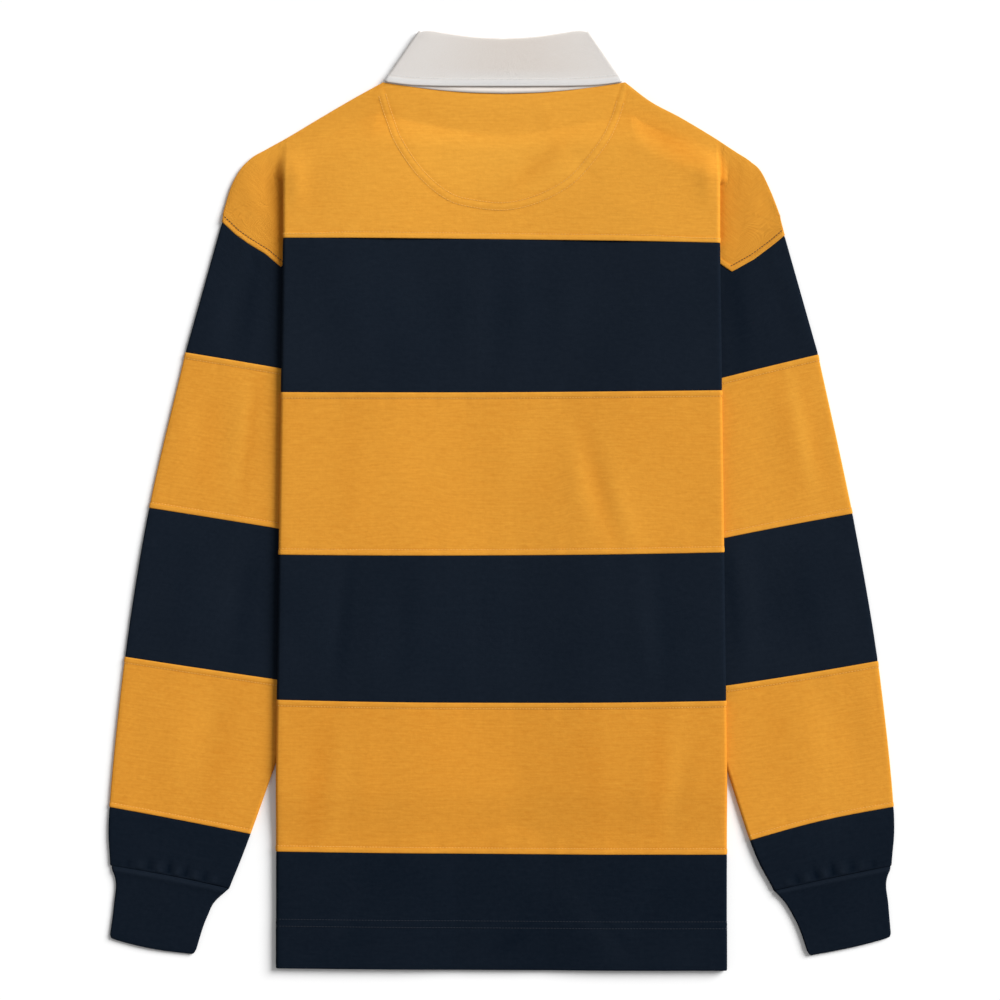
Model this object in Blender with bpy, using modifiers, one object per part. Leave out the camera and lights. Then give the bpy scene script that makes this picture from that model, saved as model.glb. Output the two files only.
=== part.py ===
"""Long-sleeved polo shirt with broad sewn bands, laid out flat on its front.

The back faces up.  The sides of the body are turned under at two straight folds, and at each
shoulder a pleat shaped like a Z swings the sleeve down, so that the sleeve runs under the body
and comes out beside it.  X runs across the shirt, Y from the hem to the collar, Z up from the
table.  Every size below is in millimetres; add_sheet turns them into metres.
"""

import bmesh
import bpy
import numpy as np
from math import cos, pi, sin

MM = 0.001

# The cloth and how its layers lie on each other
WALL = 1.2
GAP = 0.3
PITCH = WALL + GAP
ARC_STEPS = 4

# Layers from the table up, where all six lie on each other
LOWER_FRONT, LOWER_BACK, FLAP_BACK, FLAP_FRONT, MAIN_FRONT, MAIN_BACK = (
    WALL / 2 + PITCH * layer for layer in range(6))
CENTRE_FRONT = LOWER_FRONT
CENTRE_BACK = FLAP_BACK
NECK_FRONT = LOWER_BACK

# Outline of the laid body
EDGE_TOP, EDGE_TOP_Y = 179.2, 213.0
EDGE_LOW, EDGE_LOW_Y = 185.0, -229.0
PLEAT_Y = 270.6
UNDERARM_X, UNDERARM_Y = 93.0, 16.4
PLEAT_SLOPE = (EDGE_TOP - UNDERARM_X) / (PLEAT_Y - UNDERARM_Y)
FOLD_DEPTH = 1.5 * PITCH + WALL / 2
SETTLE_TOP, SETTLE_LOW = -232.0, -284.0
SETTLE_DEPTH = 2 * PITCH
DROOP_MARGIN, DROOP_WIDTH = 6.0, 30.0

# Seams between the bands of the body, from the top one down to the hem: height at the left
# fold, in the middle and at the right fold
SEAMS = (
    (214.8, 213.7, 210.5),
    (88.0, 88.0, 89.6),
    (-44.5, -45.2, -42.6),
    (-163.6, -166.3, -164.4),
    (-287.8, -290.0, -290.4),
    (-383.6, -385.2, -385.6),
)
BAND_ROWS = (
    (0.0, 0.28, 0.56, 0.8485, 1.0),
    (0.0, 0.33, 0.67, 1.0),
    (0.0, 0.5, 1.0),
    (0.0, 0.3, 0.55, 0.78, 1.0),
    (0.0, 0.5, 1.0),
)

# Neck, shoulder and armhole of the left (-1) and right (1) side: distance from the middle, y
NECK_X, NECK_Y = 99.2, 342.4
NECK_SHIFT = 2.1
SHIFT_RISE, SHIFT_FALL = (262.0, 332.0), (100.0, 176.0)
SHOULDERS = {
    -1: ((99.2, 342.4), (120.5, 330.5), (149.1, 313.2), (177.5, 296.0),
         (192.5, 287.8), (207.0, 278.8), (214.4, 270.6), (222.6, 254.2), (228.9, 232.5)),
    1: ((99.2, 342.4), (118.0, 328.2), (147.0, 313.2), (177.5, 295.2),
        (190.0, 286.9), (205.0, 277.0), (212.0, 270.6), (220.2, 254.2), (228.9, 231.5)),
}
ARMHOLES = {
    -1: ((159.6, 213.0), (171.0, 203.0), (181.0, 191.5), (194.1, 202.4), (207.7, 210.6),
         (218.0, 218.0), (229.3, 228.6)),
    1: ((159.6, 213.0), (170.0, 203.0), (180.0, 193.6), (189.0, 187.5), (206.7, 197.5),
        (221.3, 208.4), (232.3, 217.5)),
}
SLEEVE_HEAD_HIDDEN = ((152.0, 190.0), (168.0, 190.8))

# Placket at the front, hidden under the shirt as it lies
SLOT_HALF = 16.3
NEAR_SLOT_X = 36.0
PLACKET_HALF, PLACKET_LOW, PLACKET_TOP = 16.0, 108.0, 257.7
BUTTON_RADIUS, BUTTON_THICK = 5.75, 2.0
BUTTON_YS = (240.0, 190.0, 140.0)
BUTTON_SIDES = 16
# Half of a button's section from its middle out: radius and height, as shares of its own
BUTTON_PROFILE = (
    (0.62, 0.0), (0.72, 0.3), (0.92, 0.3), (1.0, 0.55), (1.0, 0.8), (0.9, 1.0),
)
HOLE_RADIUS, HOLE_PLACE, HOLE_SIDES = 0.75, 1.35, 6
PLACKET_OUTER = BUTTON_THICK + GAP + WALL / 2
PLACKET_INNER = PLACKET_OUTER + PITCH
BACK_OVER_PLACKET = PLACKET_INNER + PITCH
PLACKET_RISE = (65.0, 105.0)
PLACKET_FALL = (262.0, 312.0)
LEAF_RISE = (170.0, 213.0)

# Rows of the top band, as shares of the way from its seam up to the neck and shoulder, and the
# shares at which the pleat closes, lies down and unfolds
TOP_ROWS = (0.0, 0.25, 0.5, 0.54, 0.58, 0.62, 0.66, 0.72, 0.79, 0.86, 0.92, 1.0)
PLEAT_APEX = 0.5
PLEAT_OPEN = (0.6, 0.92)
PLEAT_UNFOLD = (0.5, 0.66)
FOLD_SPREAD = 10.0
FLAP_LEAST = 1.2
PLEAT_CLEARANCE = 0.6

# Columns of the top band: x at its seam, x at the back's neck, x at the front's neck, share of
# the rise towards the fold, and nearness to the slot of the placket
TOP_COLUMNS = (
    (0.0, 0.0, 0.0, 0.0, 1.0),
    (SLOT_HALF, SLOT_HALF, SLOT_HALF, 0.0, 1.0),
    (NEAR_SLOT_X, 28.3, 56.7, 0.0, 0.5),
    (64.0, 57.7, 81.0, 0.0, 0.0),
    (94.0, 79.0, 93.6, 0.0, 0.0),
    (123.6, NECK_X, NECK_X, 0.0, 0.0),
    (133.6, 124.0, 124.0, 1 / 3, 0.0),
    (143.6, 150.0, 150.0, 2 / 3, 0.0),
    (153.6, 170.0, 170.0, 1.0, 0.0),
    (165.0, 173.2, 173.2, 1.0, 0.0),
    (EDGE_TOP - FOLD_DEPTH, EDGE_TOP - FOLD_DEPTH, EDGE_TOP - FOLD_DEPTH, 1.0, 0.0),
)
SHOULDER_COLUMNS = (193.0, 200.5, 208.5, 216.6, 223.5, 228.4)

# Sleeves and cuffs: outer x and y, where a seam meets the outer fold; inner x and y, where it
# meets the underarm seam; and how far it bows
SLEEVES = {
    "left": (
        (259.6, 121.0, 122.7, 97.5, 0.3),
        (289.3, -6.2, 114.4, -34.8, 0.3),
        (309.2, -128.8, 161.6, -150.8, -0.2),
        (322.0, -251.5, 205.9, -273.8, 0.2),
        (321.5, -299.6, 223.4, -318.4, 1.0),
    ),
    "right": (
        (260.1, 119.3, 116.0, 83.0, 0.6),
        (288.1, -10.9, 120.0, -44.6, 1.0),
        (309.0, -132.2, 163.5, -155.5, -0.8),
        (322.0, -251.3, 203.8, -279.0, 2.2),
        (320.4, -300.0, 223.4, -320.4, 0.5),
    ),
}
CUFFS = {
    "left": (
        (320.2, -300.1, 223.8, -318.9, 1.0),
        (316.9, -312.6, 234.4, -328.6, -0.5),
        (318.2, -330.6, 241.9, -342.6, -1.0),
        (321.9, -359.5, 251.8, -372.5, -2.0),
    ),
    "right": (
        (319.6, -300.5, 224.0, -320.8, 0.5),
        (316.1, -312.6, 231.6, -329.0, -0.5),
        (317.6, -330.6, 241.2, -344.6, -1.0),
        (320.0, -358.6, 252.1, -373.6, -1.2),
    ),
}
SLEEVE_ROWS = 3
SLEEVE_COLUMNS = (0.0, 0.12, 0.3, 0.5, 0.7, 0.88, 1.0)

# Collar: x and y of its base on the neck seam, x and y of the way it leans, height of the roll
# and height of the leaf's lower edge, both along that way
COLLAR_BACK = (
    (0.0, 333.1, 0.0, 1.0, 43.9, 6.2),
    (28.3, 333.9, -0.07, 0.998, 44.6, 5.4),
    (57.7, 336.4, -0.2, 0.98, 46.2, 3.2),
    (79.0, 339.2, -0.38, 0.925, 48.0, 1.4),
    (96.2, 341.9, -0.565, 0.825, 49.5, 1.0),
)
COLLAR_FRONT = (
    (96.2, 341.9, -0.565, 0.825, 49.5, 1.0),
    (93.6, 316.0, -0.72, 0.69, 42.0, -8.0),
    (81.0, 288.0, -0.68, 0.73, 36.0, -18.0),
    (56.7, 268.0, -0.45, 0.89, 32.0, -30.0),
    (17.0, 258.6, -0.35, 0.937, 29.0, -40.0),
)
COLLAR_CORE = (CENTRE_BACK + NECK_FRONT) / 2
STAND_TOP = 8.0

# Colours, as linear values, and finish
YELLOW = (0.76, 0.352, 0.042)
NAVY = (0.008, 0.0116, 0.0194)
OFF_WHITE = (0.73, 0.70, 0.67)
PEARL = (0.62, 0.6, 0.55)
CLOTH_ROUGHNESS = 0.9
BUTTON_ROUGHNESS = 0.35


def smooth(value):
    """Ease from 0 to 1 between 0 and 1."""
    t = np.clip(value, 0.0, 1.0)
    return t * t * (3.0 - 2.0 * t)


def ramp(value, limits):
    """Ease from 0 at the first limit to 1 at the second."""
    return smooth((value - limits[0]) / (limits[1] - limits[0]))


def mix(a, b, share):
    """Straight mix of two values."""
    return a + (b - a) * share


def make_material(name, colour, roughness):
    """Principled material with one colour."""
    material = bpy.data.materials.new(name)
    material.use_nodes = True
    shader = material.node_tree.nodes["Principled BSDF"]
    shader.inputs["Base Color"].default_value = (*colour, 1.0)
    shader.inputs["Roughness"].default_value = roughness
    shader.inputs["Metallic"].default_value = 0.0
    return material


def add_sheet(name, grid, material, collection, keep=None):
    """Cloth wall around a grid of middle points (rows, columns, xyz), in millimetres.

    Each cell is split along the diagonal that joins its near low corner to its far high one, so
    that layers above each other bend alike.  keep drops cells where the cloth is cut away.
    """
    rows, columns, _ = grid.shape
    index = np.arange(rows * columns).reshape(rows, columns)
    faces = []
    for i in range(rows - 1):
        for j in range(columns - 1):
            if keep is not None and not keep[i][j]:
                continue
            a, b = index[i, j], index[i, j + 1]
            c, d = index[i + 1, j + 1], index[i + 1, j]
            across = abs(grid[i, j + 1, 0]) - abs(grid[i, j, 0])
            along = grid[i + 1, j, 1] - grid[i, j, 1]
            if across * along > 0:
                faces += [(a, b, c), (a, c, d)]
            else:
                faces += [(a, b, d), (b, c, d)]
    mesh = bpy.data.meshes.new(name)
    mesh.from_pydata((grid.reshape(-1, 3) * MM).tolist(), [], faces)
    edit = bmesh.new()
    edit.from_mesh(mesh)
    loose = [vertex for vertex in edit.verts if not vertex.link_faces]
    bmesh.ops.delete(edit, geom=loose, context="VERTS")
    bmesh.ops.recalc_face_normals(edit, faces=edit.faces)
    edit.to_mesh(mesh)
    edit.free()
    sheet = bpy.data.objects.new(name, mesh)
    collection.objects.link(sheet)
    mesh.materials.append(material)
    solidify = sheet.modifiers.new("wall", "SOLIDIFY")
    solidify.thickness = WALL * MM
    solidify.offset = 0.0
    solidify.use_even_offset = False
    mesh.shade_smooth()
    mesh.set_sharp_from_angle(angle=pi / 5)
    return sheet


def edge_x(y):
    """Half width of the laid body, from its middle to the fold at its side."""
    return mix(EDGE_TOP, EDGE_LOW, np.clip((EDGE_TOP_Y - y) / (EDGE_TOP_Y - EDGE_LOW_Y), 0, 1))


def flap_x(y):
    """Where the part that is turned under ends: at the pleat's lower fold, then the side seam."""
    return np.clip(edge_x(y) - PLEAT_SLOPE * (PLEAT_Y - y), UNDERARM_X, edge_x(y))


def settle(y):
    """How far the body sinks below the underarm, where no sleeve lies under it."""
    return SETTLE_DEPTH * smooth((SETTLE_TOP - y) / (SETTLE_TOP - SETTLE_LOW))


def seam_y(seam, x):
    """Height of a seam between two bands, bent through its three measured points."""
    left, middle, right = SEAMS[seam]
    t = x / EDGE_LOW
    return middle + (right - left) / 2 * t + ((right + left) / 2 - middle) * t * t


def over_placket(y):
    """1 where the placket lies under the back, 0 elsewhere."""
    return ramp(y, PLACKET_RISE) * (1.0 - ramp(y, PLACKET_FALL))


def centre_level(layer, y, near_slot):
    """Height of the middle of the front or back: it rises over the placket and the collar."""
    if layer == "back":
        return mix(CENTRE_BACK, BACK_OVER_PLACKET, near_slot * over_placket(y))
    level = mix(CENTRE_FRONT, NECK_FRONT, ramp(y, LEAF_RISE))
    return mix(level, PLACKET_OUTER, near_slot ** 3 * over_placket(y))


def turn(centre_x, centre_z, radius, side):
    """Points of a half turn from above a fold's centre to below it, out on the given side."""
    angles = [pi * step / ARC_STEPS for step in range(1, ARC_STEPS + 1)]
    return [(centre_x + side * radius * sin(a), centre_z + radius * cos(a)) for a in angles]


def main_columns(y):
    """Columns of the laid body: distance from the middle, rise share, nearness to the slot."""
    rise_end = flap_x(y) - DROOP_MARGIN
    rise_start = rise_end - DROOP_WIDTH
    fold = edge_x(y) - FOLD_DEPTH
    columns = [(0.0, 0.0, 1.0), (SLOT_HALF, 0.0, 1.0), (NEAR_SLOT_X, 0.0, 0.5)]
    columns += [(mix(NEAR_SLOT_X, rise_start, 0.5), 0.0, 0.0), (rise_start, 0.0, 0.0)]
    columns += [(mix(rise_start, rise_end, t), smooth(t), 0.0) for t in (1 / 3, 2 / 3, 1.0)]
    columns += [(mix(rise_end, fold, t), 1.0, 0.0) for t in (0.5, 1.0)]
    return columns


def half_row(layer, y, seam_share, sign, band):
    """One side of a body row, from the middle out to the fold and in again under it."""
    main_z, flap_z = (MAIN_BACK, FLAP_BACK) if layer == "back" else (MAIN_FRONT, FLAP_FRONT)
    sink = settle(y)
    path = []
    for x, rise, near_slot in main_columns(y):
        path.append((x, mix(centre_level(layer, y, near_slot), main_z - sink, rise)))
    fold = edge_x(y) - FOLD_DEPTH
    path += turn(fold, (main_z + flap_z) / 2 - sink, (main_z - flap_z) / 2, 1)
    path += [(mix(fold, flap_x(y), t), flap_z - sink) for t in (0.5, 1.0)]
    upper = [seam_y(band - 2, sign * x) - GAP / 2 for x, _ in path]
    lower = [seam_y(band - 1, sign * x) + GAP / 2 for x, _ in path]
    return [(sign * x, mix(top, low, seam_share), z)
            for (x, z), top, low in zip(path, upper, lower)]


def band_grid(layer, band):
    """Middle points of a whole body band below the top one, from flap to flap."""
    rows = []
    for share in BAND_ROWS[band - 2]:
        sides = {}
        for sign in (-1, 1):
            top = seam_y(band - 2, sign * EDGE_LOW)
            low = seam_y(band - 1, sign * EDGE_LOW)
            sides[sign] = half_row(layer, mix(top, low, share), share, sign, band)
        rows.append(sides[-1][::-1] + sides[1][1:])
    return np.array(rows)


def shifted(grid):
    """Moves the neck a little to the right: wholly above the shoulders, fading down and outwards."""
    moved = np.array(grid)
    x, y = moved[..., 0], moved[..., 1]
    moved[..., 0] += NECK_SHIFT * ramp(y, SHIFT_RISE) * (1.0 - ramp(np.abs(x), SHIFT_FALL))
    return moved


def top_edge(layer, x, sign):
    """Upper edge of the top band: the neck curve inside the neck point, the shoulder outside."""
    if x >= NECK_X:
        points = SHOULDERS[sign]
    elif layer == "back":
        points = [station[:2] for station in COLLAR_BACK[:-1]] + [(NECK_X, NECK_Y)]
    else:
        points = [(NECK_X, NECK_Y)] + [station[:2] for station in COLLAR_FRONT[1:]]
    xs, ys = zip(*sorted(points))
    return float(np.interp(x, xs, ys))


def parallel(points, distance):
    """The inner points of a path, moved square to it by a distance, to its right."""
    steps = np.diff(points, axis=0)
    steps /= np.linalg.norm(steps, axis=1)[:, None]
    right = np.stack((steps[:, 1], -steps[:, 0]), axis=1)
    before, after = right[:-1], right[1:]
    mitre = (before + after) / (1.0 + (before * after).sum(axis=1))[:, None]
    return points[1:-1] + mitre * distance


def pleat_row(layer, share):
    """The fold columns of a top band row: an S that grows into the Z of the pleat.

    They are worked out for the back; the front runs one layer inside it.
    """
    opened = 1.0 - ramp(share, PLEAT_OPEN)
    overhang = 1.0 - ramp(share, PLEAT_UNFOLD)
    main_z, flap_z = mix(LOWER_BACK, MAIN_BACK, opened), mix(LOWER_BACK, FLAP_BACK, opened)
    fold = EDGE_TOP - FOLD_DEPTH
    depth = PLEAT_SLOPE * (PLEAT_Y - EDGE_TOP_Y) * max(0.0, 1.0 - share / PLEAT_APEX)
    inner = fold - max(depth, FLAP_LEAST)
    folded = turn(fold, (main_z + flap_z) / 2, (main_z - flap_z) / 2, 1)
    folded += [(mix(fold, inner, t), flap_z) for t in (0.5, 1.0)]
    folded += turn(inner, (flap_z + LOWER_BACK) / 2, (flap_z - LOWER_BACK) / 2, -1)
    count = len(folded)
    path = [(fold - 1.0, main_z), (fold, main_z)]
    for step, (x, z) in enumerate(folded, start=1):
        t = step / count
        plain_x = fold + FOLD_SPREAD * t
        plain_z = mix(main_z, LOWER_BACK, smooth(t))
        path.append((mix(plain_x, x, overhang), mix(plain_z, z, overhang)))
    path.append((path[-1][0] + 1.0, LOWER_BACK))
    path = np.array(path)
    if layer == "front":
        apart = 4.0 * PLEAT_CLEARANCE * overhang * (1.0 - overhang)
        window = np.sin(np.linspace(0.0, pi, count + 1))[:, None]
        return parallel(path, PITCH + apart * window)[1:], main_z - PITCH, LOWER_FRONT
    return path[2:-1], main_z, LOWER_BACK


def top_half_row(layer, share, sign):
    """One side of a top band row, from the middle through the pleat to the armhole."""
    path, main_z, low_z = pleat_row(layer, share)
    row = []
    for seam_x, back_x, front_x, rise, near_slot in TOP_COLUMNS:
        neck_x = back_x if layer == "back" else front_x
        x = mix(seam_x, neck_x, share)
        y = mix(seam_y(0, sign * seam_x) + GAP / 2, top_edge(layer, neck_x, sign), share)
        z = mix(centre_level(layer, y, near_slot), main_z, smooth(rise))
        row.append((sign * x, y, z))
    for x, z in path:
        y = mix(seam_y(0, sign * x) + GAP / 2, top_edge(layer, x, sign), share)
        row.append((sign * x, y, z))
    for (seam_x, seam_height), shoulder_x in zip(ARMHOLES[sign][1:], SHOULDER_COLUMNS):
        x = mix(seam_x, shoulder_x, share)
        y = mix(seam_height + GAP / 2, top_edge(layer, shoulder_x, sign), share)
        row.append((sign * x, y, low_z))
    return row


def sleeve_path(outer, inner, bow):
    """One row of a sleeve: in the upper layer out to the fold, round it and in again below."""
    outer, inner = np.array(outer), np.array(inner)
    length = np.linalg.norm(outer - inner)
    out = (outer - inner) / length
    side = np.array((-out[1], out[0]))
    if side[1] < 0:
        side = -side
    centre = length - (PITCH + WALL) / 2
    points = []
    for t in SLEEVE_COLUMNS:
        place = inner + out * centre * t + side * bow * sin(pi * t)
        points.append((*place, LOWER_BACK))
    for reach, z in turn(centre, (LOWER_BACK + LOWER_FRONT) / 2, PITCH / 2, 1):
        points.append((*(inner + out * reach), z))
    for t in SLEEVE_COLUMNS[-2::-1]:
        place = inner + out * centre * t + side * bow * sin(pi * t)
        points.append((*place, LOWER_FRONT))
    return points


def sleeve_head(sign):
    """First row of a sleeve: the armhole seam, with the corners of the body's edge."""
    seam = np.array(SLEEVE_HEAD_HIDDEN + ARMHOLES[sign][2:]) * (sign, 1)
    out = seam[-1] - seam[-2]
    out /= np.linalg.norm(out)
    seam[-1] -= out * (PITCH + WALL) / 2
    points = [(x, y, LOWER_BACK) for x, y in seam]
    for reach, z in turn(0.0, (LOWER_BACK + LOWER_FRONT) / 2, PITCH / 2, 1):
        points.append((*(seam[-1] + out * reach), z))
    points += [(x, y, LOWER_FRONT) for x, y in seam[-2::-1]]
    return points


def station_rows(table, sign):
    """Rows of a sleeve at the stations of a table."""
    return [sleeve_path((sign * ox, oy), (sign * ix, iy), bow) for ox, oy, ix, iy, bow in table]


def loft(first, last, count):
    """Rows between two seam rows, each half a gap in from its seam."""
    first, last = np.array(first), np.array(last)
    run = np.linalg.norm(last[:, :2] - first[:, :2], axis=1).mean()
    inset = GAP / 2 / run
    shares = np.linspace(inset, 1.0 - inset, count + 1)
    return np.array([mix(first, last, share) for share in shares])


def bowed(grid, before, after):
    """Bend a sleeve band's long sides so that they run on smoothly into their neighbours."""
    count = len(grid) - 1
    bent = grid.copy()
    for row in range(1, count):
        t = row / count
        bent[row, :, :2] += (before * (t * (1 - t) ** 2) - after * (t * t * (1 - t)))[:, :2]
    return bent


def collar_section(station, turned, piece, steps):
    """Section of the collar along its height: its stand, or the leaf with the roll over it.

    turned is 0 at the back, pi at the front and in between round the side of the neck.
    """
    base_x, base_y, lean_x, lean_y, roll, leaf_edge = station
    lean = np.array((lean_x, lean_y, 0.0))
    lean /= np.linalg.norm(lean)
    out = np.array((lean[1], -lean[0], 0.0)) * sin(turned) + np.array((0, 0, 1)) * cos(turned)
    base = np.array((base_x, base_y, COLLAR_CORE))
    inner_side, outer_side = PITCH / 2, PITCH * 1.5
    if piece == "stand":
        heights = np.linspace(GAP, roll - STAND_TOP - GAP / 2, steps + 1)
        flat = [(height, inner_side) for height in heights]
    else:
        flat = [(roll - STAND_TOP + GAP / 2, inner_side), (roll, inner_side)]
        for step in range(1, ARC_STEPS):
            angle = pi * step / ARC_STEPS
            flat.append((roll + PITCH / 2 * sin(angle), PITCH - PITCH / 2 * cos(angle)))
        flat += [(height, outer_side) for height in np.linspace(roll, leaf_edge, steps + 1)]
    return [base + lean * height + out * offset for height, offset in flat]


def collar_grid(piece, steps):
    """The collar's stand or leaf, all round the neck from one front end to the other."""
    half = [(station, 0.0) for station in COLLAR_BACK]
    side = COLLAR_BACK[-1]
    half += [(side, pi * step / ARC_STEPS) for step in range(1, ARC_STEPS)]
    half += [(station, pi) for station in COLLAR_FRONT]
    right = np.array([collar_section(station, turned, piece, steps) for station, turned in half])
    left = right[::-1].copy()
    left[:, :, 0] *= -1
    return shifted(np.concatenate((left[:-1], right)))


def add_box(name, half_x, low_y, high_y, middle_z, material, collection):
    """Flat strip of the placket."""
    bpy.ops.mesh.primitive_cube_add(size=1.0)
    strip = bpy.context.object
    strip.name = strip.data.name = name
    for owner in strip.users_collection:
        owner.objects.unlink(strip)
    collection.objects.link(strip)
    strip.data.materials.append(material)
    sizes = np.array((2 * half_x, high_y - low_y, WALL)) * MM
    centre = np.array((0.0, (low_y + high_y) / 2, middle_z)) * MM
    for vertex in strip.data.vertices:
        vertex.co = [c + s * v for c, s, v in zip(centre, sizes, vertex.co)]
    return strip


def add_button(name, y, material, collection, cutters):
    """Four-hole button with a raised rim, face down under the placket."""
    angles = [2 * pi * k / BUTTON_SIDES for k in range(BUTTON_SIDES)]
    edit = bmesh.new()
    rings = []
    for radius_share, height_share in BUTTON_PROFILE:
        radius = radius_share * BUTTON_RADIUS
        z = (1.0 - height_share) * BUTTON_THICK
        ring = [edit.verts.new((radius * cos(a) * MM, (y + radius * sin(a)) * MM, z * MM))
                for a in angles]
        rings.append(ring)
    for upper, lower in zip(rings, rings[1:]):
        for k in range(BUTTON_SIDES):
            n = (k + 1) % BUTTON_SIDES
            edit.faces.new((upper[k], upper[n], lower[n], lower[k]))
    edit.faces.new(rings[0])
    edit.faces.new(rings[-1])
    bmesh.ops.recalc_face_normals(edit, faces=edit.faces)
    mesh = bpy.data.meshes.new(name)
    edit.to_mesh(mesh)
    edit.free()
    mesh.materials.append(material)
    button = bpy.data.objects.new(name, mesh)
    collection.objects.link(button)
    for number, (dx, dy) in enumerate(((-1, -1), (-1, 1), (1, -1), (1, 1))):
        bpy.ops.mesh.primitive_cylinder_add(
            vertices=HOLE_SIDES, radius=HOLE_RADIUS * MM, depth=4 * BUTTON_THICK * MM,
            location=(dx * HOLE_PLACE * MM, (y + dy * HOLE_PLACE) * MM, BUTTON_THICK / 2 * MM))
        cutter = bpy.context.object
        cutter.name = f"{name}_hole_{number + 1}"
        for owner in cutter.users_collection:
            owner.objects.unlink(cutter)
        cutters.objects.link(cutter)
        cutter.hide_render = True
        cutter.display_type = "WIRE"
        cut = button.modifiers.new(f"hole_{number + 1}", "BOOLEAN")
        cut.operation = "DIFFERENCE"
        cut.object = cutter
    return button


def build_body(cloth, collection):
    """Back and front, each cut in six bands."""
    for band in range(2, 7):
        colour = cloth["navy"] if band % 2 == 0 else cloth["yellow"]
        for layer in ("back", "front"):
            grid = band_grid(layer, band)
            keep = None
            if layer == "front" and band == 2:
                keep = np.ones((len(grid) - 1, grid.shape[1] - 1), bool)
                middle = grid.shape[1] // 2
                keep[:-1, middle - 1:middle + 1] = False
            add_sheet(f"{layer}_band_{band}", grid, colour, collection, keep)
    halves = {(layer, sign): [top_half_row(layer, share, sign) for share in TOP_ROWS]
              for layer in ("back", "front") for sign in (-1, 1)}
    back = [left[::-1] + right[1:] for left, right in zip(halves["back", -1], halves["back", 1])]
    add_sheet("back_band_1", shifted(back), cloth["yellow"], collection)
    for side, sign in (("left", -1), ("right", 1)):
        front = [row[1:] for row in halves["front", sign]]
        add_sheet(f"front_band_1_{side}", shifted(front), cloth["yellow"], collection)


def build_sleeves(cloth, collection):
    """Five bands and a cuff for each sleeve, as flattened tubes open at the underarm seam."""
    for side, sign in (("left", -1), ("right", 1)):
        rows = [np.array(sleeve_head(sign))]
        rows += [np.array(row) for row in station_rows(SLEEVES[side], sign)]
        runs = [after - before for before, after in zip(rows, rows[1:])]
        for band in range(5):
            before = runs[band] - runs[band - 1] if band > 1 else np.zeros_like(runs[0])
            after = runs[band + 1] - runs[band] if 0 < band < 4 else np.zeros_like(runs[0])
            grid = loft(rows[band], rows[band + 1], SLEEVE_ROWS)
            grid = bowed(grid, -before / 2, after / 2)
            colour = cloth["navy"] if band % 2 == 0 else cloth["yellow"]
            add_sheet(f"sleeve_{side}_{band + 1}", grid, colour, collection)
        cuff = np.array(station_rows(CUFFS[side], sign))
        cuff[0, :, 1] -= GAP
        add_sheet(f"cuff_{side}", cuff, cloth["navy"], collection)


def build_neck(cloth, collection, cutters):
    """Collar stand and leaf, the two strips of the placket and its buttons."""
    add_sheet("collar_stand", collar_grid("stand", 2), cloth["white"], collection)
    add_sheet("collar_leaf", collar_grid("leaf", 3), cloth["white"], collection)
    add_box("placket_outer", PLACKET_HALF, PLACKET_LOW, PLACKET_TOP, PLACKET_OUTER,
            cloth["white"], collection)
    add_box("placket_inner", PLACKET_HALF, PLACKET_LOW, PLACKET_TOP, PLACKET_INNER,
            cloth["white"], collection)
    for number, y in enumerate(BUTTON_YS, start=1):
        add_button(f"button_{number}", y, cloth["pearl"], collection, cutters)


def main():
    """Clear the scene and build the shirt."""
    for thing in list(bpy.data.objects):
        bpy.data.objects.remove(thing)
    collection = bpy.data.collections.new("polo_shirt")
    cutters = bpy.data.collections.new("cutters")
    bpy.context.scene.collection.children.link(collection)
    bpy.context.scene.collection.children.link(cutters)
    cloth = {
        "yellow": make_material("yellow_jersey", YELLOW, CLOTH_ROUGHNESS),
        "navy": make_material("navy_jersey", NAVY, CLOTH_ROUGHNESS),
        "white": make_material("off_white_twill", OFF_WHITE, CLOTH_ROUGHNESS),
        "pearl": make_material("pearl_button", PEARL, BUTTON_ROUGHNESS),
    }
    build_body(cloth, collection)
    build_sleeves(cloth, collection)
    build_neck(cloth, collection, cutters)


main()
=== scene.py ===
"""Looks of a long-sleeved polo shirt with broad sewn bands, laid flat on its front.

Every cloth piece is a surface worked out with numpy as a function of two parameters: one runs
across the cloth, from the middle out through the folds, and one runs along it, from seam to seam.
Sizes are in millimetres until a mesh is made.
"""

import math

import bpy
import mathutils
import numpy as np
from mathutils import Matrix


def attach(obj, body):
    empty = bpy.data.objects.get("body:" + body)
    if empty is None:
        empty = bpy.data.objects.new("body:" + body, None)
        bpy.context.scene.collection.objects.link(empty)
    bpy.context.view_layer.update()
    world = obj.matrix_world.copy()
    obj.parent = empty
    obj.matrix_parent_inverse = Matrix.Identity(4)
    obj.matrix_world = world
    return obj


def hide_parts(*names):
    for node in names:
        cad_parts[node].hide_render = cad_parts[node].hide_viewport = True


bl_info = {
    "name": "Laid Polo Shirt",
    "version": (1, 0, 0),
    "blender": (4, 5, 0),
    "location": "3D View > Sidebar > Polo Shirt",
    "description": "Builds the cloth, seams, stitches and buttons of a laid long-sleeved polo shirt",
    "category": "Object",
}

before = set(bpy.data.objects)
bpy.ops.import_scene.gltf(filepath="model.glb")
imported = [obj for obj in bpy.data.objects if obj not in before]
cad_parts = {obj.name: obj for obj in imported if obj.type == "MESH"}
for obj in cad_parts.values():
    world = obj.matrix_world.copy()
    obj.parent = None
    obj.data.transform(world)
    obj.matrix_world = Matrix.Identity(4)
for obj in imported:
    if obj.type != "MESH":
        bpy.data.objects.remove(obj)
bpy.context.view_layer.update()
MM = 0.001
TINY = 1e-9

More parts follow.
